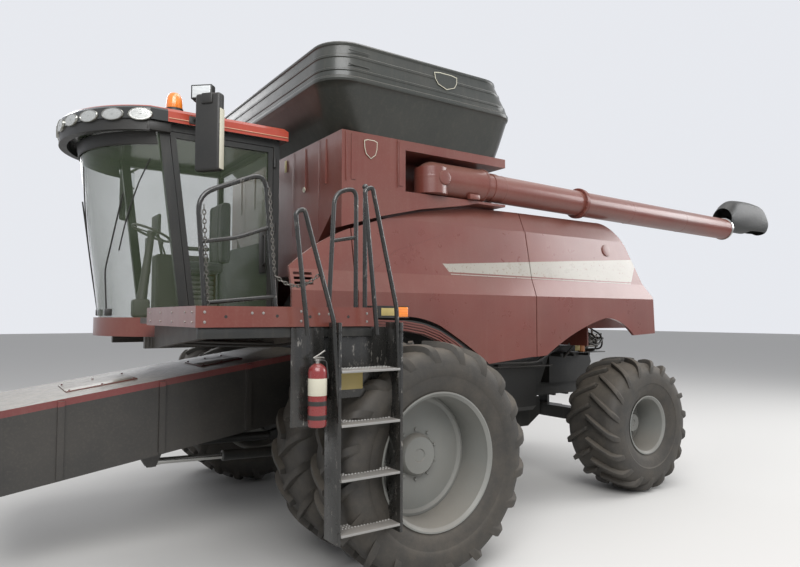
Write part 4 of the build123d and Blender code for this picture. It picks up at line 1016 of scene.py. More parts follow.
# %% Bend the rails
rail_low, rail_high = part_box("guard_rails")
ladder_low, ladder_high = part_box("ladder")
RAIL, DECK = 0.017, 2.12
MIDRAIL, POST = RAIL * 0.85, RAIL * 1.05
guard_y = (rail_low[1] + rail_high[1]) / 2
grip_y = ladder_high[1] - RAIL - 0.008
ladder_in, ladder_out = ladder_low[1], ladder_high[1]
RAILS = [
    # radius, bend, then the corners ahead of the axle and up
    (RAIL, 0.12, [(1.9, DECK), (1.965, 2.93), (1.5, 3.13), (1.41, DECK)]),
    (MIDRAIL, 0.05, [(1.935, 2.62), (1.7, 2.662), (1.443, 2.76)]),
    (MIDRAIL, 0.06, [(1.907, 2.22), (1.416, 2.27)]),
    (RAIL, 0.09, [(1.0, DECK), (0.955, 3.05), (0.77, 3.11), (0.77, DECK)]),
    (MIDRAIL, 0.06, [(0.974, 2.69), (0.77, 2.73)]),
    (POST, 0.06, [(0.69, DECK), (0.69, 3.125)]),
]
HALF_KNOB = [(0.009, 0.0225), (0.02, 0.014), (0.024, 0.004)]
KNOB = [(-z, radius) for z, radius in HALF_KNOB[::-1]] + [(0.0, 0.025)] + HALF_KNOB
guard = [pipe([(x, guard_y, z) for x, z in run], radius, bend) for radius, bend, run in RAILS]
guard.append(turned(KNOB, "Z", 24, at(0.69, guard_y, 3.124)))
for x in (1.9, 1.41, 1.0, 0.77, 0.69):
    foot = (x - 0.032, guard_y - 0.024, DECK)
    guard.append(block(foot, (x + 0.032, guard_y + 0.017, DECK + 0.012), 0.004))
fit("bent_guard_rails", guard, rail_paint, "machine", "guard_rails")
print("guard rails of radius", RAIL)

# %% Build the ladder
LADDER_TOP, CASE_REAR, CASE_IN, CASE_OUT = 2.056, 1.054, 2.5, 2.508
GRIPS = [
    [(1.25, 2.0), (1.35, 2.845), (1.285, 2.875), (1.05, 2.1), (1.007, 1.5)],
    [(0.69, 2.0), (0.8, 3.06), (0.735, 3.09), (0.52, 2.2), (0.483, 1.5)],
]
ladder = [pipe([(x, grip_y, z) for x, z in run], RAIL, 0.035) for run in GRIPS]
for x in (0.47, 0.994):
    ladder.append(block((x, ladder_in, 0.54), (x + 0.026, ladder_out - 0.006, 2.09), 0.004))
    for z in (0.62, 0.98, 1.4, 1.78, 2.02):
        ladder.append(rod(0, 0.006, 0.012, "Y", 6, at(x + 0.013, ladder_out - 0.008, z)))
ladder += [
    block((0.47, ladder_in, 1.53), (1.062, ladder_in + 0.01, LADDER_TOP), 0.003),
    block((CASE_REAR, CASE_IN, 1.53), (1.062, ladder_in + 0.004, LADDER_TOP), 0.002),
    block((CASE_REAR, CASE_IN, 1.36), (1.31, CASE_OUT, LADDER_TOP), 0.003),
    block((0.67, guard_y - 0.01, 1.996), (1.25, ladder_in + 0.005, LADDER_TOP), 0.004),
]
fit("folding_ladder", ladder, rail_paint, "machine", "ladder")
treads = []
TREAD_HEIGHTS = (1.76, 1.38, 1.0, 0.62)
for z in TREAD_HEIGHTS:
    tread = (0.497, ladder_in + 0.004, z - 0.028)
    treads.append(block(tread, (0.993, ladder_out - 0.002, z - 0.01), 0.003))
    tooth = turned([(z - 0.012, 0.01), (z - 0.004, 0.007)], "Z", 8)
    rows = [ladder_in + y for y in (0.02, 0.052, 0.088)]
    treads += spread(tooth, [at(0.52 + 0.0265 * k, y, 0) for k in range(18) for y in rows])
fit("serrated_ladder_treads", treads, step_alloy)
plate = block((0.707, ladder_in + 0.01, 1.592), (0.988, ladder_in + 0.0125, 1.728), 0.001)
fit("bare_ladder_plate", [plate], yellow_plate)
print("ladder treads:", len(TREAD_HEIGHTS))

# %% Hang the chains
LINK_SIZE, STEPS = 0.034, 60


def chain(start, end, slack):
    """Links on a hanging curve, each turned a quarter from the last."""
    bpy.ops.mesh.primitive_torus_add(major_radius=LINK_SIZE * 0.3, minor_radius=LINK_SIZE * 0.11,
                                     major_segments=14, minor_segments=6)
    bpy.context.object.scale = (1.55, 1, 1)
    link = tidy(settle(bpy.context.object), 60)

    def place(share):
        return start.lerp(end, share) - Vector((0, 0, 4 * slack * share * (1 - share)))

    length = sum((place((k + 1) / STEPS) - place(k / STEPS)).length for k in range(STEPS))
    count = round(length / (LINK_SIZE * 0.78))
    links = []
    for k in range(count):
        share = (k + 0.5) / count
        way = (place(share + 0.02) - place(share - 0.02)).normalized()
        turn = way.to_track_quat("X", "Z").to_matrix().to_4x4()
        roll = Matrix.Rotation(math.pi / 2 * (k % 2) + 0.3, 4, "X")
        links.append(copied(link, Matrix.Translation(place(share)) @ turn @ roll))
    bpy.data.objects.remove(link)
    return links


hook = at(1.432, guard_y + 0.022, 2.42)
chains = chain(at(1.925, guard_y + 0.01, 2.86), at(1.885, guard_y + 0.012, DECK + 0.02), 0.03)
chains += chain(at(1.478, guard_y + 0.022, 3.02), hook, 0.012)
chains += chain(hook, at(1.13, grip_y - 0.03, 2.45), 0.09)
fit("platform_chains", chains, chain_steel)

# %% [markdown]
# ## The cab's roof, lamps and mirrors
#
# The roof's front is closed by a dark band that carries ten wide oval lamps, side by side
# round the bow: a bright dish behind clear glass, in a chromed ring. Each is a round lathe
# shape, stretched sideways and turned to face straight out of the bow. The beacon is an
# amber dome on a rubber foot. Each mirror is a thick black housing turned towards the
# driver, with a pale outer edge and real mirror glass facing back.

# %% Light the roof
ROOF_TOP, BAND_MIDDLE = 3.965, 3.875
NOSE, SHOULDER, SIDE = 2.54, 1.93, 0.925


def bow_radius(depth, side):
    """The radius of a bow so deep in its middle and so wide to each side."""
    return (side ** 2 + depth ** 2) / (2 * depth)


ROOF_BOW = bow_radius(NOSE - SHOULDER, SIDE)
rings, dishes, lenses = [], [], []
LAMP_SHAPES = (
    (rings, [(-0.026, 0.056), (0.005, 0.056), (0.01, 0.053), (0.01, 0.05), (0.004, 0.047), (-0.001, 0.046)]),
    (dishes, [(0.0012, 0.006), (0.0015, 0.02), (0.0035, 0.036), (0.007, 0.048)]),
    (dishes, [(0.001, 0.012), (0.0065, 0.011), (0.007, 0.008)]),
    (lenses, [(0.005, 0.0485), (0.008, 0.04), (0.0095, 0.024), (0.01, 0.008)]),
)
for k in range(5):
    angle = math.radians(6.9 + 13.8 * k)
    out = at(NOSE - ROOF_BOW + ROOF_BOW * math.cos(angle), ROOF_BOW * math.sin(angle), BAND_MIDDLE)
    face_out = Matrix.Translation(out) @ Matrix.Rotation(angle, 4, "Z") @ Matrix.Diagonal((1, 1.85, 1, 1))
    for pieces, lamp_rings in LAMP_SHAPES:
        pieces.append(turned(lamp_rings, "X", 40, caps=pieces is not rings))
        pieces[-1].data.transform(face_out)
fit("roof_lamp_rings", both(rings), dark_chrome)
fit("roof_lamp_dishes", both(dishes), bright_steel)
clear_glass = Finish("lamp_lens", "clear_lens_glass", IOR=1.5, Roughness=0.03, Alpha=0.35, Coat_Weight=0.6)
cloud = clear_glass.noise(0.02, 3)
clear_glass.set("Base Color", clear_glass.between(cloud, (0.5, 0.52, 0.5), (0.74, 0.77, 0.75)))
fit("roof_lamp_lenses", both(lenses), clear_glass, "machine", "roof_lamps")
print("roof lamps:", len(lenses) * 2)

# %% Close the visor
SCREEN_NOSE, SCREEN_BOW = 2.15, bow_radius(2.15 - 1.625, 0.844)
SCREEN_FOOT, LEAN = 2.12, (1.76 - 1.54) / (3.84 - 2.12)


def on_screen(y, z, off):
    """A point just ahead of the windscreen, which is bowed and leans forward."""
    bowed = SCREEN_NOSE - SCREEN_BOW + math.sqrt(SCREEN_BOW ** 2 - y ** 2)
    return at(bowed + LEAN * (z - SCREEN_FOOT) + off, y, z)


bpy.ops.mesh.primitive_grid_add(x_subdivisions=40, y_subdivisions=2, size=2)
header = bpy.context.object
for vertex in header.data.vertices:
    across, up_share = vertex.co.x, (vertex.co.y + 1) / 2
    vertex.co = on_screen(0.835 * across, 3.655 + 0.105 * up_share, 0.004 + 0.01 * up_share)
tidy(change(header, "SOLIDIFY", thickness=0.01, offset=0))
cheeks = [block((1.745, 0.846, 3.75), (1.95, 0.903, 3.8395), 0.01)]
seal = bent_tube([on_screen(0.835 * k / 10, 3.652, 0.01) for k in range(-10, 11)], 0.006, 0.01)
fit("visor_header_and_cheeks", [header] + both(cheeks) + [seal], black_plastic)
print("header points:", len(header.data.vertices))

# %% Set the beacon and the signal
BEACON = at(1.69, 0.77, 0)
DOME = [(4.0, 0.068), (4.006, 0.0715), (4.06, 0.07), (4.095, 0.067), (4.12, 0.0605),
        (4.138, 0.05), (4.149, 0.036), (4.155, 0.018), (4.156, 0.006)]
BEACON_FOOT = [(3.962, 0.086), (3.97, 0.0865), (3.982, 0.078), (3.99, 0.076), (3.998, 0.078),
               (4.004, 0.078), (4.005, 0.07)]
SIGNAL_REAR, SIGNAL_FRONT, SIGNAL_LOW, SIGNAL_HIGH = 0.3, 0.41, 2.122, 2.215
signal_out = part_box("amber_lenses")[1][1]
signal_in, cover_out = signal_out - 0.06, signal_out + 0.0008
dome, beacon_foot = turned(DOME, "Z", 48, BEACON), turned(BEACON_FOOT, "Z", 48, BEACON)
signal = block((SIGNAL_REAR + 0.004, signal_in + 0.004, SIGNAL_LOW + 0.004),
               (SIGNAL_FRONT, signal_out - 0.001, SIGNAL_HIGH - 0.004), 0.012, 4)
fit("amber_beacon_and_signal", [dome, signal], amber_lens, "machine", "amber_lenses")
plate = block((0.425, signal_out - 0.001, 2.14), (0.56, cover_out, 2.198), 0.0006)
fit("signal_bare_plate", [plate], yellow_plate)
hood = [block((SIGNAL_REAR - 0.002, signal_in, z), (0.565, cover_out, z + 0.006), 0.002)
        for z in (SIGNAL_LOW - 0.001, SIGNAL_HIGH - 0.005)]
cable = [(0.6, signal_in + 0.02, 2.16), (0.66, signal_in + 0.02, 2.155), (0.68, signal_in - 0.03, 2.13)]
fit("signal_hood_and_cable", hood + [pipe(cable, 0.006, 0.02)], black_plastic)
print("beacon and signal set")

# %% Hang the mirrors
MIRROR_LOW, MIRROR_TOP, MIRROR_TURN = 3.285, 3.915, math.radians(40)
ROOT_Y, STALK_X, ARM_Z, LAMP_TURN = 0.927, 1.556, MIRROR_TOP - 0.03, math.radians(48)
STALK_Y = ROOT_Y + 0.255


def on_mirror(low, high, *rounding):
    """A block of the mirror: X towards its back, Y across it."""
    return put(slab(low, high, *rounding), at(1.625, 1.605, 0), MIRROR_TURN, "Z")


def on_lamp(low, high, *rounding):
    """A block of the work lamp, which looks out along X."""
    return put(slab(low, high, *rounding), at(STALK_X, STALK_Y, ROOF_TOP), LAMP_TURN, "Z")


mirror = [
    on_mirror((-0.04, -0.115, MIRROR_LOW), (0.04, 0.112, MIRROR_TOP), 0.024, 4),
    pipe([(1.55, ROOT_Y, ARM_Z), (1.55, ROOT_Y + 0.3, ARM_Z + 0.006), (1.6, 1.6, ARM_Z)], 0.016, 0.1),
    on_mirror((0.02, -0.05, ARM_Z - 0.06), (0.054, 0.05, ARM_Z + 0.026), 0.01, 3),
    block((1.5, ROOT_Y - 0.002, ARM_Z - 0.035), (1.6, ROOT_Y + 0.01, ARM_Z + 0.035), 0.004),
    pipe([(STALK_X, STALK_Y, ARM_Z), (STALK_X, STALK_Y, ROOF_TOP + 0.04)], 0.012),
    on_lamp((-0.03, -0.08, 0.024), (0.02, 0.08, 0.036), 0.003),
    on_lamp((-0.04, -0.096, 0.036), (0.032, 0.096, 0.162), 0.012, 3),
    on_lamp((0.026, -0.094, 0.038), (0.037, 0.094, 0.16), 0.004),
]
for k in range(10):
    fin = -0.084 + 0.018 * k
    mirror.append(on_lamp((-0.05, fin, 0.046), (-0.038, fin + 0.006, 0.152), 0.002))
face = on_lamp((0.0355, -0.082, 0.049), (0.0385, 0.082, 0.149), 0.002)
fit("mirrors_and_work_lamps", both(mirror) + [beacon_foot], black_plastic, "machine", "roof_fittings")
fit("work_lamp_faces", both([face]), lamp_lens)
edge = on_mirror((-0.033, 0.109, MIRROR_LOW + 0.015), (0.033, 0.1135, MIRROR_TOP - 0.13), 0.003)
fit("mirror_pale_edges", both([edge]), sign_plate)
glasses = [on_mirror((-0.0412, -0.1, low_z), (-0.0395, 0.098, high_z), 0.0004)
           for low_z, high_z in ((MIRROR_LOW + 0.02, 3.69), (3.71, MIRROR_TOP - 0.03))]
fit("mirror_faces", both(glasses), mirror_glass)
print("mirrors turned", round(math.degrees(MIRROR_TURN)), "degrees")

# %% [markdown]
# ## Inside the cab
#
# The seat shows through the glass, so its cushions are soft: a box is rounded, cut into
# even small squares, and blown up a little, which crowns its middle. Sewn channels are
# pressed in at the same time. The wheel is a thin ring on spokes, and the console carries
# a screen.

# %% Pad the seat
SWELL, CHANNELS, CHANNEL_WIDTH, CHANNEL_DEPTH = 0.016, (-0.12, 0.12), 0.009, 0.008


def cushion(low, high):
    """A padded form inside a box, with sewn channels across it."""
    inset = Vector((SWELL, SWELL, SWELL)) * 0.8
    pad = change(slab(low + inset, high - inset, 0.035, 3), "REMESH", mode="VOXEL", voxel_size=0.014)
    middle, size = (low + high) / 2, high - low
    face, length = (2, 0) if size.x > size.z else (0, 2)
    for vertex in pad.data.vertices:
        near = [(vertex.co[k] - middle[k]) / (size[k] / 2) for k in range(3)]
        swell = SWELL * 0.9 * max(0.0, 1 - near[1] ** 2) * max(0.0, 1 - near[length] ** 2)
        off = vertex.co.y - middle.y
        pressed = sum(math.exp(-((off - channel) / CHANNEL_WIDTH) ** 2) for channel in CHANNELS)
        if near[face] > 0:
            vertex.co[face] += swell - CHANNEL_DEPTH * pressed
        else:
            vertex.co[face] -= 0.2 * swell
    return change(pad, "SUBSURF", levels=1, render_levels=1)


base = cushion(at(1.01, -0.24, 2.56), at(1.43, 0.24, 2.69))
back = cushion(at(0.94, -0.24, 2.665), at(1.06, 0.24, 3.325))
fit("driver_seat_base", [base], seat_cloth, "machine", "operator_seat")
fit("driver_seat_back", [back], seat_cloth)
print("cushion points:", len(base.data.vertices) + len(back.data.vertices))

# %% Build the controls
WHEEL, CAB_FLOOR = at(1.69, 0, 2.96), 2.121
bpy.ops.mesh.primitive_torus_add(major_radius=0.19, minor_radius=0.0125,
                                 major_segments=48, minor_segments=12)
wheel = [tidy(bpy.context.object, 60)]
wheel.append(turned([(-0.03, 0.036), (-0.006, 0.044), (0.01, 0.044), (0.016, 0.034)], "Z", 32))
wheel += ring_of(slab((-0.016, 0.03, -0.007), (0.016, 0.183, 0.005), 0.004), 3, (0, 0, 0), 0, "Z")
column = turned([(-0.85, 0.06), (-0.55, 0.045), (-0.1, 0.034), (-0.02, 0.03)], "Z", 24)
controls = [
    # wheel, column, its boot and the seat's pedestal
    put(joined(wheel), WHEEL, math.radians(-22)),
    put(column, WHEEL, math.radians(-7)),
    block((1.7, -0.07, CAB_FLOOR), (1.86, 0.07, 2.3), 0.03, 4),
    block((1.06, -0.15, CAB_FLOOR), (1.38, 0.15, 2.3), 0.02, 3),
]
for k in range(5):
    fold = 2.3 + 0.05 * k
    controls.append(block((1.09, -0.12, fold), (1.35, 0.12, fold + 0.045), 0.018, 3))
controls += [
    # console, armrest, lever and its knob, the screen's mast, the screen, a corner post
    block((1.0, -0.56, CAB_FLOOR), (1.56, -0.33, 2.79), 0.03, 4),
    block((1.02, -0.345, 2.84), (1.38, -0.265, 2.88), 0.018, 4),
    pipe([(1.46, -0.38, 2.78), (1.5, -0.38, 2.9)], 0.01),
    turned([(2.88, 0.012), (2.9, 0.022), (2.935, 0.024), (2.95, 0.012)], "Z", 20, at(1.505, -0.38, 0)),
    pipe([(1.48, -0.44, 2.78), (1.535, -0.44, 3.06)], 0.014),
    block((1.53, -0.59, 3.0), (1.56, -0.29, 3.21), 0.012, 3),
    block((1.54, -0.8, 2.6), (1.58, -0.66, 3.0), 0.012),
]
fit("cab_wheel_console_and_screen", controls, grey_plastic, "machine", "cab_controls")
screen_face = Finish("black_plastic", "dark_screen_glass", Roughness=0.06, Coat_Weight=0.8)
glow = screen_face.noise(0.05, 3)
screen_face.set("Base Color", screen_face.between(glow, (0.012, 0.014, 0.016), (0.03, 0.035, 0.04)))
fit("screen_glass", [block((1.5285, -0.575, 3.015), (1.53, -0.305, 3.195), 0.0005)], screen_face)
print("steering wheel at height", round(WHEEL.z, 2))

# %% [markdown]
# ## Wipers, roof line and handle
#
# Long arms sweep the bowed windscreen, a pale painted highlight runs along the roof's rolled
# edge and the door hangs on three round hinges beside its handle. These are thin tubes and
# strips that follow the cab's own outlines.

# %% Trim the cab
wipers, half_foot = [], Vector((0, 0.035, 0))
for start, end in ((0.3, 0.62), (-0.38, -0.06)):
    arm = [on_screen(start, 2.17, 0.03), on_screen(start + 0.05, 2.55, 0.028), on_screen(end, 3.22, 0.022)]
    blade = [on_screen(end - 0.1 + 0.07 * k, 2.72 + 0.2 * k, 0.012) for k in range(5)]
    wipers += [bent_tube(arm, 0.007, 0.05), bent_tube(blade, 0.006, 0.02)]
    foot_low, foot_high = on_screen(start, 2.135, -0.01), on_screen(start, 2.2, 0.04)
    wipers.append(slab(foot_low - half_foot, foot_high + half_foot, 0.008))
fit("windscreen_wipers", wipers, black_plastic)
# A paler copy of the roof's red, laid as a thin tube along the roof's rolled edge: a painted highlight.
roof_edge_highlight = painted("red_paint", "painted_highlight_roof_edge_paint", (0.62, 0.33, 0.2), 0.1, 0.22, 0.5)
fit("roof_edge_painted_highlights", both([pipe([(0.645, 0.929, 3.872), (1.775, 0.929, 3.872)], 0.0045)]), roof_edge_highlight)
handle = [
    pipe([(0.86, 0.852, 2.62), (0.86, 0.9, 2.63), (0.86, 0.9, 2.9), (0.86, 0.852, 2.91)], 0.01, 0.03),
    block((0.83, 0.848, 2.55), (0.9, 0.862, 2.98), 0.006),
]
hinges = [rod(z, z + 0.09, 0.014, "Z", 20, at(0.752, 0.862, 0)) for z in (2.32, 2.95, 3.58)]
fit("cab_door_handle", handle + hinges, black_plastic, "cab_door")
print("cab trimmed")

# %% [markdown]
# ## The feeder house and its cylinders
#
# The feeder is drawn near-black on its sides under a narrow red edge, and its top plate is
# grey with dust and chaff. Those are three zones of one painted box, so they are drawn in one
# material from the height below the sloping top edge. Inside the mouth a drum carries
# slats. Two hydraulic cylinders lift the feeder: a painted barrel with a gland and a
# bright rod, each ending in an eye.

# %% Paint the feeder
FEEDER_X, FEEDER_Z, FEEDER_SLOPE, RED_EDGE = 0.24, 1.785, -0.1477, 0.058
feeder_paint = painted("black_paint", "feeder_red_edge_and_dark_sides", (0.15, 0.022, 0.024), 0.26, 0.34, 0.3)
top_edge = (feeder_paint.axis("X") - axle_x - FEEDER_X) * FEEDER_SLOPE + FEEDER_Z
looks_up = feeder_paint.facing_up()
black = feeder_paint.between(dust_share(feeder_paint, 0.22), (0.015, 0.016, 0.016), DUST)
# Near-black below the red edge on every face but the top plate.
feeder_paint.cover((top_edge - feeder_paint.axis("Z") > RED_EDGE) * (looks_up < 0.8), black)
chaff = feeder_paint.noise(0.03, 6, (0.4, 1, 1), rough=0.7).limit(0.28, 0.72)
chaff_colour = feeder_paint.between(chaff, (0.085, 0.074, 0.06), (0.27, 0.235, 0.18))
feeder_paint.cover(looks_up > 0.8, chaff_colour)
feeder_paint.dress("feeder_house")
lids = []
for ahead, length in ((1.05, 0.42), (2.15, 0.6)):
    lid = slab((-length / 2, -0.3, 0.0), (length / 2, 0.3, 0.01), 0.003)
    bolt = rod(0.008, 0.018, 0.01, "Z", 6)
    bolts = spread(bolt, [(x * (length / 2 - 0.03), y * 0.27, 0) for x in (-1, 0, 1) for y in (-1, 1)])
    on_top = at(ahead, 0, FEEDER_Z + (ahead - FEEDER_X) * FEEDER_SLOPE)
    lids.append(put(joined([lid] + bolts), on_top, -math.atan(FEEDER_SLOPE)))
fit("feeder_inspection_lids", lids, feeder_paint, "feeder")
print("feeder lids:", len(lids))

# %% Fill the feeder's mouth
DRUM_X, DRUM_Z, SLATS = 2.62, 0.985, 7
DRUM = [(-0.6, 0.13), (-0.6, 0.165), (0.6, 0.165), (0.6, 0.13)]
drum = [turned(DRUM, "Y", 40, at(DRUM_X, 0, DRUM_Z))]
for y in (-0.52, -0.175, 0.175, 0.52):
    for ahead in (DRUM_X, 2.3):
        centre = at(ahead, 0, DRUM_Z + (DRUM_X - ahead) * 0.12)
        drum.append(rod(y - 0.014, y + 0.014, 0.186, "Y", 18, centre))
for k in range(SLATS):
    for front, foot in ((0.03, 0.186), (0.003, 0.166)):
        leg = slab((-0.004, -0.585, foot), (front, 0.585, 0.194), 0.002)
        drum.append(put(leg, at(DRUM_X, 0, DRUM_Z), math.radians(52 * k)))
fit("feeder_drum_and_slats", drum, bare_steel, "feeder")
print("feeder slats:", SLATS)

# %% Turn the lift cylinders
CYLINDER_Y, FOOT_X, FOOT_Z, EYE_X, EYE_Z = 0.45, 0.19, 0.745, 1.76, 0.8
reach, climb = math.hypot(EYE_X - FOOT_X, EYE_Z - FOOT_Z), math.atan2(EYE_Z - FOOT_Z, EYE_X - FOOT_X)
BARREL = [(0.03, 0.03), (0.05, 0.046), (0.07, 0.05), (0.84, 0.05), (0.845, 0.0518), (0.897, 0.0518),
          (0.9, 0.047)]
ROD = [(0.32, 0.03), (reach - 0.1, 0.03), (reach - 0.06, 0.036), (reach - 0.03, 0.036)]


def on_cylinder(rings):
    """A lathe shape along a lift cylinder, measured from its foot."""
    return put(turned(rings, "X", 40), at(FOOT_X, CYLINDER_Y, FOOT_Z), -climb)


def eye(x, z, radius, half):
    """A cylinder's eye, a short drum across the machine."""
    edge = radius - 0.004
    rings = [(-half, edge), (-half + 0.003, radius), (half - 0.003, radius), (half, edge)]
    return turned(rings, "Y", 32, at(x, CYLINDER_Y, z))


barrels = [eye(FOOT_X, FOOT_Z, 0.042, 0.03), on_cylinder(BARREL)]
rods = [eye(EYE_X, EYE_Z, 0.049, 0.031), on_cylinder(ROD)]
fit("lift_cylinder_barrels", both(barrels), black_paint, "lift_barrels", "lift_barrels")
fit("lift_cylinder_rods", both(rods), bright_steel, "lift_rods", "lift_rods")
print("cylinders", round(reach, 2), "m long")

# %% [markdown]
# ## The extinguisher and the deck's edge
#
# The extinguisher hangs in a clamp beside the ladder: a red bottle with round shoulders,
# a pale label left bare, two black bands, a steel neck and valve with two levers, and a
# short hose. The deck's edge has bolts and small holes along it; each hole is a black disc,
# painted shade for its dark inside.

# %% Hang the extinguisher
BOTTLE_FOOT, BOTTLE_TOP, SKIN, RAISED = 1.365, 1.806, 0.0662, 0.0672
BOTTLE = [(BOTTLE_FOOT, 0.046), (1.37, 0.06), (1.388, 0.066), (1.748, 0.066), (1.776, 0.058), (1.796, 0.038),
          (BOTTLE_TOP, 0.02)]
NECK = [(1.804, 0.018), (1.822, 0.018), (1.823, 0.026), (1.838, 0.026), (1.839, 0.016)]
HOSE = [(-0.01, 0.004, 1.83), (-0.058, 0.02, 1.822), (-0.062, 0.04, 1.7)]
LEVERS = [
    [(0.034, 0, 1.843), (-0.012, 0, 1.866), (-0.056, 0, 1.893)],
    [(0.03, 0, 1.841), (-0.016, 0, 1.848), (-0.05, 0, 1.842)],
]
hung = at(1.152, 2.604, 0)


def wrapped(start, end, radius):
    """A thin sleeve round the bottle."""
    rings = [(start, SKIN), (start + 0.001, radius), (end - 0.001, radius), (end, SKIN)]
    return turned(rings, "Z", 48, hung, caps=False)


def over_bottle(points, radius):
    """A small bent tube counted from the bottle's middle."""
    return bent_tube([hung + Vector(point) for point in points], radius, 0.02)


steel = [turned(NECK, "Z", 6, hung)] + [over_bottle(lever, 0.006) for lever in LEVERS]
mount = block((1.12, 2.506, 1.5), (1.184, 2.545, 1.72), 0.004)
black = [wrapped(z, z + 0.031, RAISED) for z in (1.42, 1.516)] + [over_bottle(HOSE, 0.0065), mount]
fit("extinguisher_bottle", [turned(BOTTLE, "Z", 48, hung)], bottle_paint, "machine", "fire_extinguisher")
fit("extinguisher_bare_label", [wrapped(1.585, 1.704, 0.0666)], sign_plate)
fit("extinguisher_bands_and_hose", black, black_plastic)
fit("extinguisher_neck", steel, bare_steel)
print("extinguisher's bottle", round(BOTTLE_TOP - BOTTLE_FOOT, 2), "m tall")

# %% Bolt the deck's edge
EDGE_BOLT = [(0, 0.0105), (0.0012, 0.0105), (0.0013, 0.0075), (0.006, 0.0075), (0.007, 0.006)]
EDGE_PLACES = [
    (0.7, 2.155), (0.7, 2.095), (1.02, 2.15), (1.1, 2.15), (1.24, 2.168),
    (1.24, 2.1), (1.52, 2.155), (1.6, 2.155), (1.92, 2.16), (1.92, 2.095),
]
HOLES = [(1.17, 2.13), (1.42, 2.135), (1.78, 2.13), (0.86, 2.13)]
bolts = spread(turned(EDGE_BOLT, "Y", 6), [at(x, 2.5175, z) for x, z in EDGE_PLACES])
# Each small hole is a thin black disc on the edge: painted shade for the dark inside of the hole.
hole_shades = [rod(-0.001, 0.0006, 0.011, "Y", 20, at(x, 2.518, z)) for x, z in HOLES]
front_places = [at(1.9775, y, z) for y in (1.3, 1.62, 1.95, 2.28, 2.44) for z in (2.095, 2.16)]
bolts += spread(rod(0, 0.006, 0.0075, "X", 6), front_places)
fit("deck_edge_bolts", bolts, bare_steel)
fit("deck_edge_hole_shades", hole_shades, black_plastic)
fit("deck_edge_beam", [block((0.64, 2.455, 1.985), (1.955, 2.498, 2.058), 0.006)], black_paint)
tread = painted("black_paint", "tread_plate_paint", (0.02, 0.021, 0.021), 0.42, 0.4, 0.1, 0.3)
tread.bump((tread.waves("X", 11.0) * tread.waves("Y", 11.0)).limit(0.35, 0.75), 0.004, 0.9)
tread.dress("platform")
print("bolts on the deck's edge:", len(bolts))

# %% [markdown]
# ## Small things on the tank
#
# The tank's front wall carries a round lamp socket in a pale ring and a small bare plate.
# Where the real machine has a badge there is a bare shield, a plate of the same colour
# with a pale edge. Its sheets are joined in upright seams.

# %% Fit the tank's details
TANK_FACE, COLLAR_FACE, COLLAR_LEAN = 1.4895, 1.7155, math.radians(6)
SOCKET = [(0, 0.014), (0.004, 0.015), (0.007, 0.02), (0.006, 0.027), (0, 0.029)]
SHIELD = [(-1, 0.86), (-0.5, 1), (0.5, 1), (1, 0.86), (0.95, 0.1), (0.72, -0.55), (0, -1),
          (-0.72, -0.55), (-0.95, 0.1)]
fit("tank_socket_ring", [turned(SOCKET, "X", 32, at(0.3595, 0.701, 3.432), caps=False)], sign_plate)
fit("tank_socket_slot", [block((0.359, 0.694, 3.418), (0.364, 0.708, 3.446), 0.003)], black_plastic)
fit("tank_bare_plate", [block((0.359, 0.205, 3.7), (0.361, 0.262, 3.83), 0.0008)], yellow_plate)


def shield(middle, width, height, thickness, lean=0.0):
    """A flat plate in the outline of a badge, looking along Y."""
    bpy.ops.mesh.primitive_circle_add(vertices=len(SHIELD), radius=1, fill_type="NGON")
    plate = bpy.context.object
    for vertex, (x, z) in zip(plate.data.vertices, SHIELD):
        vertex.co = (x * width / 2, 0, z * height / 2)
    change(plate, "SOLIDIFY", thickness=thickness, offset=0)
    return tidy(put(plate, middle, lean, "X"), 20)


edges = [
    shield(at(0.04, TANK_FACE, 3.73), 0.15, 0.185, 0.002),
    shield(at(-0.7, COLLAR_FACE, 4.475), 0.29, 0.17, 0.002, COLLAR_LEAN),
]
fit("badge_edges", edges, sign_plate)
fit("tank_badge_field", [shield(at(0.04, TANK_FACE + 0.001, 3.73), 0.136, 0.171, 0.0016)], red_paint)
field = shield(at(-0.7, COLLAR_FACE + 0.001, 4.475), 0.274, 0.154, 0.0016, COLLAR_LEAN)
fit("collar_badge_field", [field], collar_paint)
seams = [block((x, 1.488, 3.4), (x + 0.012, 1.4905, 3.872), 0.001) for x in (0.3, -0.28)]
seams += [block((0.357, y, 2.98), (0.36, y + 0.012, 3.87), 0.001) for y in (0.42, 1.02)]
fit("tank_seams", both(seams), red_paint)
print("tank details fitted")

# %% [markdown]
# ## Behind the rear wheel arch and under the panels
#
# Through the arch one sees hoses, a filter, a bare yellow plate and the belts. Hoses are
# tubes bent round their corners, and two of them start in a metal end; the filter is a
# lathe shape. Under the side panel runs a frame of bolted plates with pipes along it.

# %% Run the hoses
HOSES = [
    # radius, bend, then the corners
    (0.014, 0.1, [(-3.36, 0.98, 1.78), (-3.52, 1.02, 1.83), (-3.8, 1.04, 1.74), (-4.02, 0.96, 1.84)]),
    (0.011, 0.1, [(-3.36, 0.92, 1.86), (-3.6, 0.98, 1.92), (-3.9, 1.0, 1.8), (-4.06, 0.9, 1.9)]),
    (0.016, 0.1, [(-3.3, 0.9, 1.6), (-3.34, 1.0, 1.72), (-3.48, 1.06, 1.98)]),
    (0.012, 0.08, [(-3.78, 0.84, 1.94), (-3.84, 1.0, 1.86), (-3.8, 1.02, 1.68), (-3.7, 0.8, 1.68)]),
    (0.012, 0.08, [(-3.94, 0.8, 1.98), (-3.98, 0.98, 1.88), (-4.0, 0.96, 1.7), (-3.98, 0.7, 1.68)]),
]
HOSE_END = [(-0.03, 0.016), (-0.012, 0.016), (-0.011, 0.02), (0.012, 0.02), (0.013, 0.015), (0.05, 0.015)]
FILTER = [(1.668, 0.04), (1.676, 0.048), (1.79, 0.048), (1.8, 0.044), (1.803, 0.052), (1.822, 0.052),
          (1.828, 0.03)]
hoses = [pipe(run, radius, bend) for radius, bend, run in HOSES]
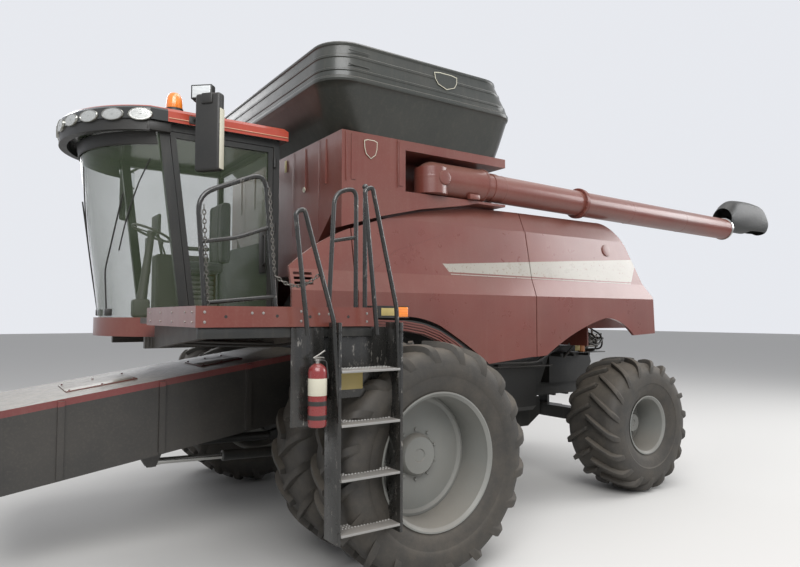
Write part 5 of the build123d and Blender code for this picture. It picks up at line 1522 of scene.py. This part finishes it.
for y, z in ((0.86, 1.93), (0.98, 1.9), (1.1, 1.93)):
    run = [(0.42, y, z), (0.8, y, z - 0.05), (1.35, y * 0.9, z - 0.03), (1.8, y * 0.85, z)]
    hoses.append(pipe(run, 0.013, 0.15))
fit("arch_and_deck_hoses", hoses, hose_rubber)
steel = [turned(HOSE_END, "X", 12, at(*HOSES[k][2][0])) for k in (0, 1)]
for x, y, z in ((-3.82, 0.86, 1.9), (-3.92, 0.86, 1.9), (-3.56, 0.9, 1.93)):
    steel.append(rod(z, z + 0.05, 0.018, "Z", 6, at(x, y, 0)))
steel.append(block((-3.98, 0.78, 1.72), (-3.74, 0.92, 1.9), 0.012, 3))
for k in range(4):
    cap = at(-3.78 - 0.06 * k, 0, 1.77 + 0.07 * (k % 2))
    steel.append(turned([(0.92, 0.022), (0.95, 0.022), (0.955, 0.015)], "Y", 16, cap))
fit("hose_ends_and_valves", steel, bare_steel)
shelf = [block((-4.02, 0.76, 1.655), (-3.34, 1.0, 1.668), 0.004)]
shelf += [block((x, 0.63, 1.6), (x + 0.05, 0.8, 1.658), 0.006) for x in (-3.95, -3.65, -3.4)]
fit("arch_shelf", shelf, black_paint)
orange = painted("amber_plastic", "orange_filter_paint", (0.62, 0.22, 0.05), 0.2, 0.3, 0.3)
fit("arch_filter", [turned(FILTER, "Z", 32, at(-3.6, 0.94, 0))], orange)
fit("arch_bare_plate", [block((-3.49, 1.005, 1.69), (-3.4, 1.01, 1.79), 0.001)], yellow_plate)
print("hoses:", len(hoses))

# %% Plate the frame under the panels
PLATE_IN, PLATE_OUT = 0.905, 0.917
LONG_PIPE = [(-1.3, 1.0, 1.7), (-1.45, 1.06, 1.6), (-2.6, 1.06, 1.57), (-2.85, 0.96, 1.62),
             (-3.2, 0.92, 1.75)]
SHORT_PIPE = [(-1.35, 0.98, 1.66), (-1.5, 1.02, 1.54), (-2.95, 1.02, 1.52)]
plates = []
for rear, front, foot, top in ((-2.05, -1.36, 1.4, 1.66), (-2.92, -2.12, 1.505, 1.66)):
    plates.append(block((rear, PLATE_IN, foot), (front, PLATE_OUT, top), 0.004))
    head = rod(PLATE_OUT, PLATE_OUT + 0.008, 0.012, "Y", 6)
    rows = (rear + 0.05, (rear + front) / 2, front - 0.05)
    plates += spread(head, [at(x, 0, z) for x in rows for z in (foot + 0.04, top - 0.04)])
fit("frame_side_plates", both(plates), black_paint)
fit("frame_side_pipes", both([pipe(LONG_PIPE, 0.016, 0.12), pipe(SHORT_PIPE, 0.011, 0.1)]), hose_rubber)
print("frame plates:", 4)

# %% [markdown]
# ## The back and the engine deck
#
# The back has red lamps in black boxes, a grab handle and rows of bolts along the hood's
# seams. The exhaust ends in an upright pipe with a bright rolled edge over a black wrap.
# Each rear side panel has a round lid.

# %% Light and bolt the back
HOOD = [(-3.8, 3.09), (-3.99, 2.6), (-4.1, 2.4), (-4.13, 1.985)]
LAMPS = (0.985, 1.075, 1.15)
lenses = [block((-4.186, y, 2.095), (-4.176, y + 0.06, 2.185), 0.006, 3) for y in LAMPS]
fit("rear_lamp_lenses", both(lenses), red_lens)
bolts = []
for (x0, z0), (x1, z1) in zip(HOOD, HOOD[1:]):
    lean = math.atan2(x0 - x1, z0 - z1)
    for share in (0.15, 0.5, 0.85):
        x, z = x0 + (x1 - x0) * share, z0 + (z1 - z0) * share
        for y in (0.4, 1.2):
            bolts.append(put(rod(-0.002, 0.006, 0.01, "X", 6), at(x, y, z), math.pi + lean))
fit("hood_bolts", both(bolts), bare_steel)
GRAB = [(-4.13, -0.22), (-4.175, -0.22), (-4.175, 0.22), (-4.13, 0.22)]
fit("hood_grab_handle", [pipe([(x, y, 2.13) for x, y in GRAB], 0.011, 0.03)], black_plastic)
PIPE_END = [(3.6, 0.0785), (3.7, 0.0785), (3.774, 0.0785), (3.7745, 0.074), (3.772, 0.071), (3.6, 0.071)]
WRAP = [(3.26, 0.0785), (3.262, 0.081), (3.56, 0.081), (3.562, 0.0785)]
exhaust = at(-2.35, -0.82, 0)
fit("exhaust_pipe_end", [turned(PIPE_END, "Z", 48, exhaust, caps=False)], bare_steel)
fit("exhaust_heat_wrap", [turned(WRAP, "Z", 48, exhaust, caps=False)], black_paint)
LID = [(-0.004, 0.076), (0.004, 0.076), (0.01, 0.072), (0.013, 0.05), (0.014, 0.015)]
lid = put(turned(LID, "Y", 48), at(-3.445, 1.4755, 2.965), math.radians(10.3), "X")
for side, piece in (("left", lid), ("right", mirrored(lid))):
    fit(f"{side}_panel_round_lid", [piece], red_paint, f"{side}_rear_panel")
print("bolts at the back:", len(bolts) * 2)

# %% [markdown]
# ## The end
#
# The dressed machine is meant not to outgrow the machine it was measured on.
